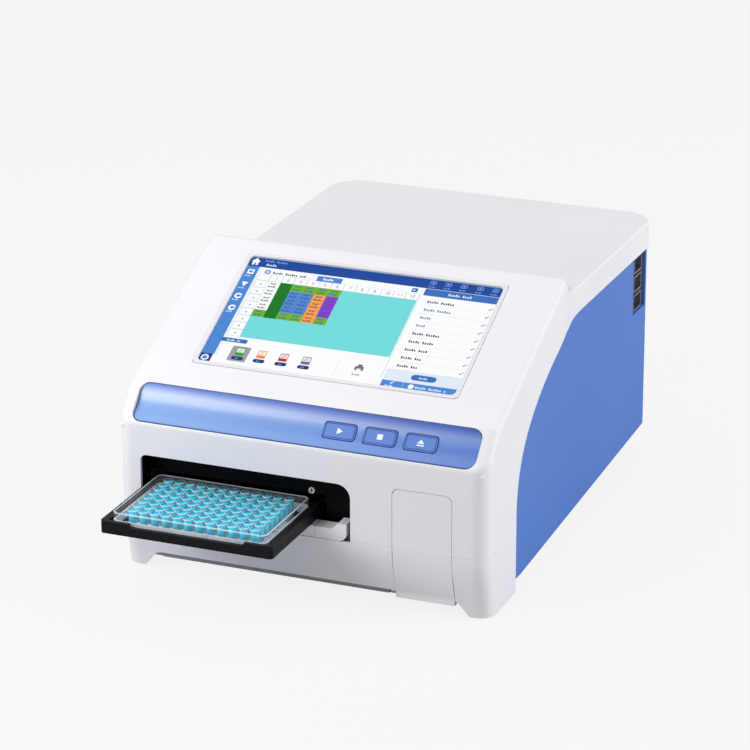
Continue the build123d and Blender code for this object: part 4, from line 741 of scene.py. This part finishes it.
def paint_list():
    """The list on the right: title bar, rows with ticks, a band with a pill, and the status bar."""
    left = LIST_LEFT
    paint_box(left, HEADER + 0.003, 1, LIST_TITLE, "title", 2)
    paint_words(0.806, 0.120, 0.098, 0.022, "pale", 3)
    for row, length in enumerate(LIST_LENGTHS):
        middle = LIST_FIRST + LIST_STEP * row
        ink = "soft_text" if row in (1, 2, 3) else "text"
        paint_words(left + 0.029, middle, length, 0.021, ink, 3)
        paint_box(left + 0.014, middle + 0.036, 0.985, middle + 0.038, "line", 2)
        for stroke in TICK:
            paint([(x, middle + y) for x, y in stroke], "grey_icon", 3)
    paint_box(left, BAND_TOP, 1, STATUS, "pale", 1)
    paint_box(left, BAND_TOP, 1, BAND_TOP + 0.002, "grid", 2)
    paint_round(0.812, 0.858, 0.908, 0.908, 0.024, "title", 2)
    paint_words(0.842, 0.884, 0.042, 0.016, "pale", 3)
    paint_round(left, STATUS, 1, 1, SCREEN_CORNER, "status", 2, (0, 0, 1, 0))
    paint_box(0.7945, 0.942, 0.7957, 0.994, "pale", 3)
    paint([(0.744, 0.954), (0.750, 0.966), (0.752, 0.960), (0.747, 0.949)], "white", 3)
    paint([(0.750, 0.966), (0.761, 0.943), (0.758, 0.940), (0.750, 0.957)], "white", 3)
    paint_words(0.730, 0.982, 0.044, 0.015, "pale", 3)
    paint_disc(0.827, 0.966, 0.020, "white", 3)
    paint_words(0.844, 0.968, 0.120, 0.020, "pale", 3)


paint_areas()
paint_home()
paint_header()
paint_side_icons()
paint_table()
paint_groups()
paint_table_bar()
paint_bottom_bar()
paint_list()
picture_mesh = bpy.data.meshes.new("display_picture")
picture.to_mesh(picture_mesh)
picture.free()
add_object("display_picture", picture_mesh, INKS[INK_NAMES[0]], "reader")
for ink_name in INK_NAMES[1:]:
    picture_mesh.materials.append(INKS[ink_name])

# ---------------------------------------------------------------- the well plate
PITCH = 9.0 * MM
COLUMNS, ROWS = 12, 8
WELL_RADIUS = 3.45 * MM
WELL_FLOOR = 1.3 * MM
RIM_HEIGHT = 0.35 * MM
LIQUID_LEVEL = 13.5 * MM
SEGMENTS = 20
WELL_TAPER = 0.2 * MM
RIM_FOOT, RIM_OUTER, RIM_INNER = 0.55 * MM, 0.45 * MM, 0.05 * MM
SAMPLE_GAP = 0.5 * MM
SAMPLE_FOOT, SAMPLE_TOP = 0.45 * MM, 0.25 * MM
DISH_DEPTH, DISH_INSET = 0.4 * MM, 1.3 * MM
DECK_HOLE = 0.5 * MM
FIELD_CUT = 0.01 * MM
CORNER_CUT = 3.0 * MM
WALL_EDGE = 0.8 * MM
SKIRT_WALL = 1.0 * MM
SKIRT_HEIGHT = 2.4 * MM
FROST_HEIGHT = 7.8 * MM
plate_middle = (plate_low + plate_high) / 2
deck_level = plate_high.z - RIM_HEIGHT
deck_half_x = 62.2 * MM
deck_half_y = 41.1 * MM
full_x = (plate_high.x - plate_low.x) / 2
full_y = (plate_high.y - plate_low.y) / 2


def well_places():
    """Centres of the wells."""
    return [
        (
            plate_middle.x + (column - (COLUMNS - 1) / 2) * PITCH,
            plate_middle.y + (row - (ROWS - 1) / 2) * PITCH,
        )
        for column in range(COLUMNS)
        for row in range(ROWS)
    ]


def ring(shape, centre_x, centre_y, height, radius, segments=SEGMENTS):
    """A circle of vertices."""
    return [
        shape.verts.new(
            (
                centre_x + radius * math.cos(2 * math.pi * index / segments),
                centre_y + radius * math.sin(2 * math.pi * index / segments),
                height,
            )
        )
        for index in range(segments)
    ]


def bridge(shape, first, second):
    """Quads between two rings of equal length."""
    count = len(first)
    for index in range(count):
        after = (index + 1) % count
        shape.faces.new((first[index], first[after], second[after], second[index]))


def build_wells(shape):
    """Each well as a thin clear tube with a floor, hung from the deck."""
    for centre_x, centre_y in well_places():
        low = ring(shape, centre_x, centre_y, plate_low.z + WELL_FLOOR, WELL_RADIUS - WELL_TAPER)
        high = ring(shape, centre_x, centre_y, plate_high.z, WELL_RADIUS)
        bridge(shape, low, high)
        shape.faces.new(low)


def build_rims(shape):
    """The raised rim round the mouth of each well, in a whiter clear that is a painted highlight.
    """
    for centre_x, centre_y in well_places():
        rings = [
            ring(shape, centre_x, centre_y, deck_level, WELL_RADIUS + RIM_FOOT),
            ring(shape, centre_x, centre_y, plate_high.z, WELL_RADIUS + RIM_OUTER),
            ring(shape, centre_x, centre_y, plate_high.z, WELL_RADIUS + RIM_INNER),
        ]
        bridge(shape, rings[0], rings[1])
        bridge(shape, rings[1], rings[2])


def build_liquid(shape):
    """The sample in each well, with a dished surface."""
    foot = plate_low.z + WELL_FLOOR + SAMPLE_GAP
    top = plate_low.z + LIQUID_LEVEL
    for centre_x, centre_y in well_places():
        low = ring(shape, centre_x, centre_y, foot, WELL_RADIUS - SAMPLE_FOOT)
        high = ring(shape, centre_x, centre_y, top, WELL_RADIUS - SAMPLE_TOP)
        dish = ring(shape, centre_x, centre_y, top - DISH_DEPTH, WELL_RADIUS - DISH_INSET)
        bridge(shape, low, high)
        bridge(shape, high, dish)
        shape.faces.new(dish)
        shape.faces.new(low)


def outline(shape, half_x, half_y, height, cut=CORNER_CUT):
    """A rectangle with its four corners cut."""
    points = [
        (-half_x + cut, -half_y),
        (half_x - cut, -half_y),
        (half_x, -half_y + cut),
        (half_x, half_y - cut),
        (half_x - cut, half_y),
        (-half_x + cut, half_y),
        (-half_x, half_y - cut),
        (-half_x, -half_y + cut),
    ]
    return [shape.verts.new((plate_middle.x + x, plate_middle.y + y, height)) for x, y in points]


def square_ring(shape, centre_x, centre_y, height, half):
    """Points of a square, one for each step of a ring round the same centre."""
    points = []
    for index in range(SEGMENTS):
        angle = 2 * math.pi * index / SEGMENTS
        reach = half / max(abs(math.cos(angle)), abs(math.sin(angle)))
        x = centre_x + reach * math.cos(angle)
        y = centre_y + reach * math.sin(angle)
        points.append(shape.verts.new((x, y, height)))
    return points


def build_deck(shape):
    """The clear deck between the wells, and its border up to the walls."""
    for centre_x, centre_y in well_places():
        inner = ring(shape, centre_x, centre_y, deck_level, WELL_RADIUS + DECK_HOLE)
        bridge(shape, inner, square_ring(shape, centre_x, centre_y, deck_level, PITCH / 2))
    field = outline(shape, COLUMNS * PITCH / 2, ROWS * PITCH / 2, deck_level, FIELD_CUT)
    border = outline(shape, deck_half_x - WALL_EDGE, deck_half_y - WALL_EDGE, deck_level)
    bridge(shape, field, border)


def build_walls(shape):
    """The clear upright walls between the skirt and the deck."""
    low = outline(shape, deck_half_x, deck_half_y, plate_low.z + FROST_HEIGHT)
    bridge(shape, low, outline(shape, deck_half_x, deck_half_y, deck_level - WALL_EDGE))


def build_edge(shape):
    """The edge where the walls meet the deck, made bright as a painted highlight."""
    rings = [
        outline(shape, deck_half_x, deck_half_y, deck_level - WALL_EDGE),
        outline(shape, deck_half_x, deck_half_y, deck_level),
        outline(shape, deck_half_x - WALL_EDGE, deck_half_y - WALL_EDGE, deck_level),
    ]
    bridge(shape, rings[0], rings[1])
    bridge(shape, rings[1], rings[2])


def build_skirt(shape):
    """The plate's skirt as one thin ring, open below, with its step up to the walls."""
    step, top = plate_low.z + SKIRT_HEIGHT, plate_low.z + FROST_HEIGHT
    inner_step = step - SKIRT_WALL
    wall_x, wall_y = deck_half_x - SKIRT_WALL, deck_half_y - SKIRT_WALL
    foot_x, foot_y = full_x - SKIRT_WALL, full_y - SKIRT_WALL
    rings = [
        outline(shape, full_x, full_y, plate_low.z),
        outline(shape, full_x, full_y, step),
        outline(shape, deck_half_x, deck_half_y, step),
        outline(shape, deck_half_x, deck_half_y, top),
        outline(shape, wall_x, wall_y, top),
        outline(shape, wall_x, wall_y, inner_step),
        outline(shape, foot_x, foot_y, inner_step),
        outline(shape, foot_x, foot_y, plate_low.z),
    ]
    for first, second in zip(rings, rings[1:] + rings[:1]):
        bridge(shape, first, second)


PLATE_PIECES = (
    ("plate_wells", build_wells, FILM),
    ("plate_rims", build_rims, RIM),
    ("plate_samples", build_liquid, LIQUID),
    ("plate_deck", build_deck, FILM),
    ("plate_walls", build_walls, FILM),
    ("plate_edge", build_edge, RIM),
    ("plate_skirt", build_skirt, FROST),
)
ROUND_PIECES = ("plate_wells", "plate_rims", "plate_samples")
for piece_name, build, material in PLATE_PIECES:
    piece = add_object(piece_name, make_mesh(piece_name, build), material, "plate")
    if piece_name in ROUND_PIECES:
        for face in piece.data.polygons:
            face.use_smooth = len(face.vertices) == 4
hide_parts("microplate")

# ---------------------------------------------------------------- icons printed on the buttons, and painted shade of the button gaps and a screw's recess
PRINT_LIFT = 0.04 * MM


def key_centre(node):
    """The centre of a button's flat face."""
    points = [vertex.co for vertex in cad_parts[node].data.vertices]
    level = max(point.dot(strip_out) for point in points)
    rises = [point.dot(strip_up) for point in points]
    crosses = [point.x for point in points]
    middle = (max(crosses) + min(crosses)) / 2
    up = strip_up * (max(rises) + min(rises)) / 2
    return strip_out * (level + PRINT_LIFT) + up + Vector((middle, 0, 0))


def key_spot(centre, x, y):
    """A point of a button's face, from millimetres to the right of and above its centre."""
    return centre + Vector((x * MM, 0, 0)) + strip_up * (y * MM)


# the patches of each icon and the outline of a button, in millimetres from the button's centre
KEY_ICONS = {
    "start_button": [[(-1.8, -2.6), (2.6, 0.0), (-1.8, 2.6)]],
    "stop_button": [[(-2.2, -2.2), (2.2, -2.2), (2.2, 2.2), (-2.2, 2.2)]],
    "plate_button": [
        [(-2.8, -0.6), (2.8, -0.6), (0.0, 2.6)],
        [(-2.8, -2.6), (2.8, -2.6), (2.8, -1.6), (-2.8, -1.6)],
    ],
}
KEY_BODIES = {
    "start_button": "start_key",
    "stop_button": "stop_key",
    "plate_button": "plate_key",
}
KEY_HALF_WIDTH = 11.9
KEY_HALF_HEIGHT = 5.8
KEY_ROUND = 2.2
KEY_LINE = 0.6


def key_loop(shape, centre, inset):
    """A rounded outline on a button's face."""
    corners = ((1, 1, 0), (-1, 1, 90), (-1, -1, 180), (1, -1, 270))
    loop = []
    for side_x, side_y, start in corners:
        for step in range(ARC_STEPS + 1):
            angle = math.radians(start + ARC_ANGLE * step)
            x = side_x * (KEY_HALF_WIDTH - KEY_ROUND) + (KEY_ROUND - inset) * math.cos(angle)
            y = side_y * (KEY_HALF_HEIGHT - KEY_ROUND) + (KEY_ROUND - inset) * math.sin(angle)
            loop.append(shape.verts.new(key_spot(centre, x, y)))
    return loop


def print_key(node, body):
    """The white icon of a button, and a dark outline at its edge that is painted shade of the gap
    round it.
    """
    centre = key_centre(node)

    def build_icon(shape):
        for points in KEY_ICONS[node]:
            shape.faces.new([shape.verts.new(key_spot(centre, x, y)) for x, y in points])

    # the dark ring is painted shade of the gap round the button
    def build_line(shape):
        bridge(shape, key_loop(shape, centre, 0), key_loop(shape, centre, KEY_LINE))

    add_object(node + "_icon", make_mesh(node + "_icon", build_icon), MARK, body)
    add_object(node + "_line", make_mesh(node + "_line", build_line), GAP_SHADE, body)


for node, body in KEY_BODIES.items():
    print_key(node, body)

# the lining's other screws sit farther out than this from the middle
SHIELD_SCREW_REACH = 20 * MM
RECESS_LENGTH, RECESS_WIDTH = 1.8 * MM, 0.42 * MM
screw_points = [vertex.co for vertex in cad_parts["liner_screws"].data.vertices]
shield_screw = [point for point in screw_points if abs(point.x) < SHIELD_SCREW_REACH]


def build_recess(shape):
    """Painted shade of the cross recess of the screw over the carrier: a dark flat cross a little
    in front of its head.
    """
    front = min(point.y for point in shield_screw) - PRINT_LIFT
    across = [point.x for point in shield_screw]
    heights = [point.z for point in shield_screw]
    centre_x = (max(across) + min(across)) / 2
    centre_z = (max(heights) + min(heights)) / 2
    bars = ((RECESS_LENGTH, RECESS_WIDTH, 0), (RECESS_WIDTH, RECESS_LENGTH, PRINT_LIFT))
    for half_x, half_z, lift in bars:
        y = front - lift
        corners = ((-half_x, -half_z), (half_x, -half_z), (half_x, half_z), (-half_x, half_z))
        shape.faces.new([shape.verts.new((centre_x + x, y, centre_z + z)) for x, z in corners])


recess_mesh = make_mesh("shield_screw_recess_shade", build_recess)
add_object("shield_screw_recess_shade", recess_mesh, RECESS_SHADE, "reader")

# ---------------------------------------------------------------- floor, light and camera
FLOOR_REACH = 8
FLOOR_GREY = 0.5
FLOOR_WHITE_SHARE = 0.86
WORLD_LIGHT = 0.50
LAMP_TARGET = (0, 0, 0.1)


def build_floor(shape):
    """A square on the ground, centred under the object."""
    corners = ((-1, -1), (1, -1), (1, 1), (-1, 1))
    shape.faces.new([shape.verts.new((x * FLOOR_REACH, y * FLOOR_REACH, 0)) for x, y in corners])


def make_floor():
    """A pale floor that keeps the object's shadow."""
    mesh = make_mesh("studio_floor", build_floor)
    floor = bpy.data.objects.new("studio_floor", mesh)
    bpy.context.scene.collection.objects.link(floor)
    material, shader = new_material("studio_floor")
    shader.inputs["Base Color"].default_value = (FLOOR_GREY, FLOOR_GREY, FLOOR_GREY, 1)
    shader.inputs["Roughness"].default_value = 0.9
    tree = material.node_tree
    output = tree.nodes["Material Output"]
    path = tree.nodes.new("ShaderNodeLightPath")
    glow = tree.nodes.new("ShaderNodeEmission")
    mix = tree.nodes.new("ShaderNodeMixShader")
    share = tree.nodes.new("ShaderNodeMath")
    share.operation = "MULTIPLY"
    share.inputs[1].default_value = FLOOR_WHITE_SHARE
    tree.links.new(path.outputs["Is Camera Ray"], share.inputs[0])
    tree.links.new(share.outputs["Value"], mix.inputs["Fac"])
    tree.links.new(shader.outputs["BSDF"], mix.inputs[1])
    tree.links.new(glow.outputs["Emission"], mix.inputs[2])
    tree.links.new(mix.outputs["Shader"], output.inputs["Surface"])
    floor.data.materials.append(material)


def make_world():
    """Even white surroundings, seen as white by the camera."""
    world = bpy.data.worlds.new("studio")
    bpy.context.scene.world = world
    world.use_nodes = True
    tree = world.node_tree
    background = tree.nodes["Background"]
    background.inputs["Color"].default_value = (1, 1, 1, 1)
    path = tree.nodes.new("ShaderNodeLightPath")
    level = tree.nodes.new("ShaderNodeMapRange")
    level.inputs["To Min"].default_value = WORLD_LIGHT
    level.inputs["To Max"].default_value = 1.0
    tree.links.new(path.outputs["Is Camera Ray"], level.inputs["Value"])
    tree.links.new(level.outputs["Result"], background.inputs["Strength"])


def add_lamp(name, place, size, power):
    """A soft square lamp that looks at the object."""
    data = bpy.data.lights.new(name, "AREA")
    data.shape = "SQUARE"
    data.size = size
    data.energy = power
    lamp = bpy.data.objects.new(name, data)
    lamp.location = place
    look = Vector(LAMP_TARGET) - Vector(place)
    lamp.rotation_euler = look.to_track_quat("-Z", "Y").to_euler()
    bpy.context.scene.collection.objects.link(lamp)


make_floor()
make_world()
add_lamp("key", (-0.75, -0.85, 0.7), 0.7, 8.5)
add_lamp("top", (-0.3, 0.4, 2.2), 1.6, 10)
add_lamp("side", (2.1, 0.4, 0.8), 1.4, 28)

CAMERA_PLACE = Vector((0.9793, -2.4212, 1.0792))
CAMERA_AZIMUTH = math.radians(22.22)
CAMERA_ELEVATION = math.radians(20.21)
CAMERA_ROLL = math.radians(-0.12)
FOCAL_PIXELS = 3558.0
FRAME_PIXELS = 750.0
SENSOR = 36.0
CLIP_END = 50


def make_camera():
    """The camera, level but for a slight roll, to the right of the front and above it."""
    data = bpy.data.cameras.new("camera")
    data.sensor_width = SENSOR
    data.lens = FOCAL_PIXELS / FRAME_PIXELS * SENSOR
    data.clip_end = CLIP_END
    camera = bpy.data.objects.new("camera", data)
    forward = Vector(
        (
            -math.sin(CAMERA_AZIMUTH) * math.cos(CAMERA_ELEVATION),
            math.cos(CAMERA_AZIMUTH) * math.cos(CAMERA_ELEVATION),
            -math.sin(CAMERA_ELEVATION),
        )
    )
    right = Vector((math.cos(CAMERA_AZIMUTH), math.sin(CAMERA_AZIMUTH), 0))
    up = right.cross(forward)
    turn = Matrix((right, up, -forward)).transposed().to_4x4()
    camera.matrix_world = (
        Matrix.Translation(CAMERA_PLACE) @ turn @ Matrix.Rotation(CAMERA_ROLL, 4, "Z")
    )
    bpy.context.scene.collection.objects.link(camera)
    bpy.context.scene.camera = camera


make_camera()
bpy.context.scene.view_settings.view_transform = "Standard"
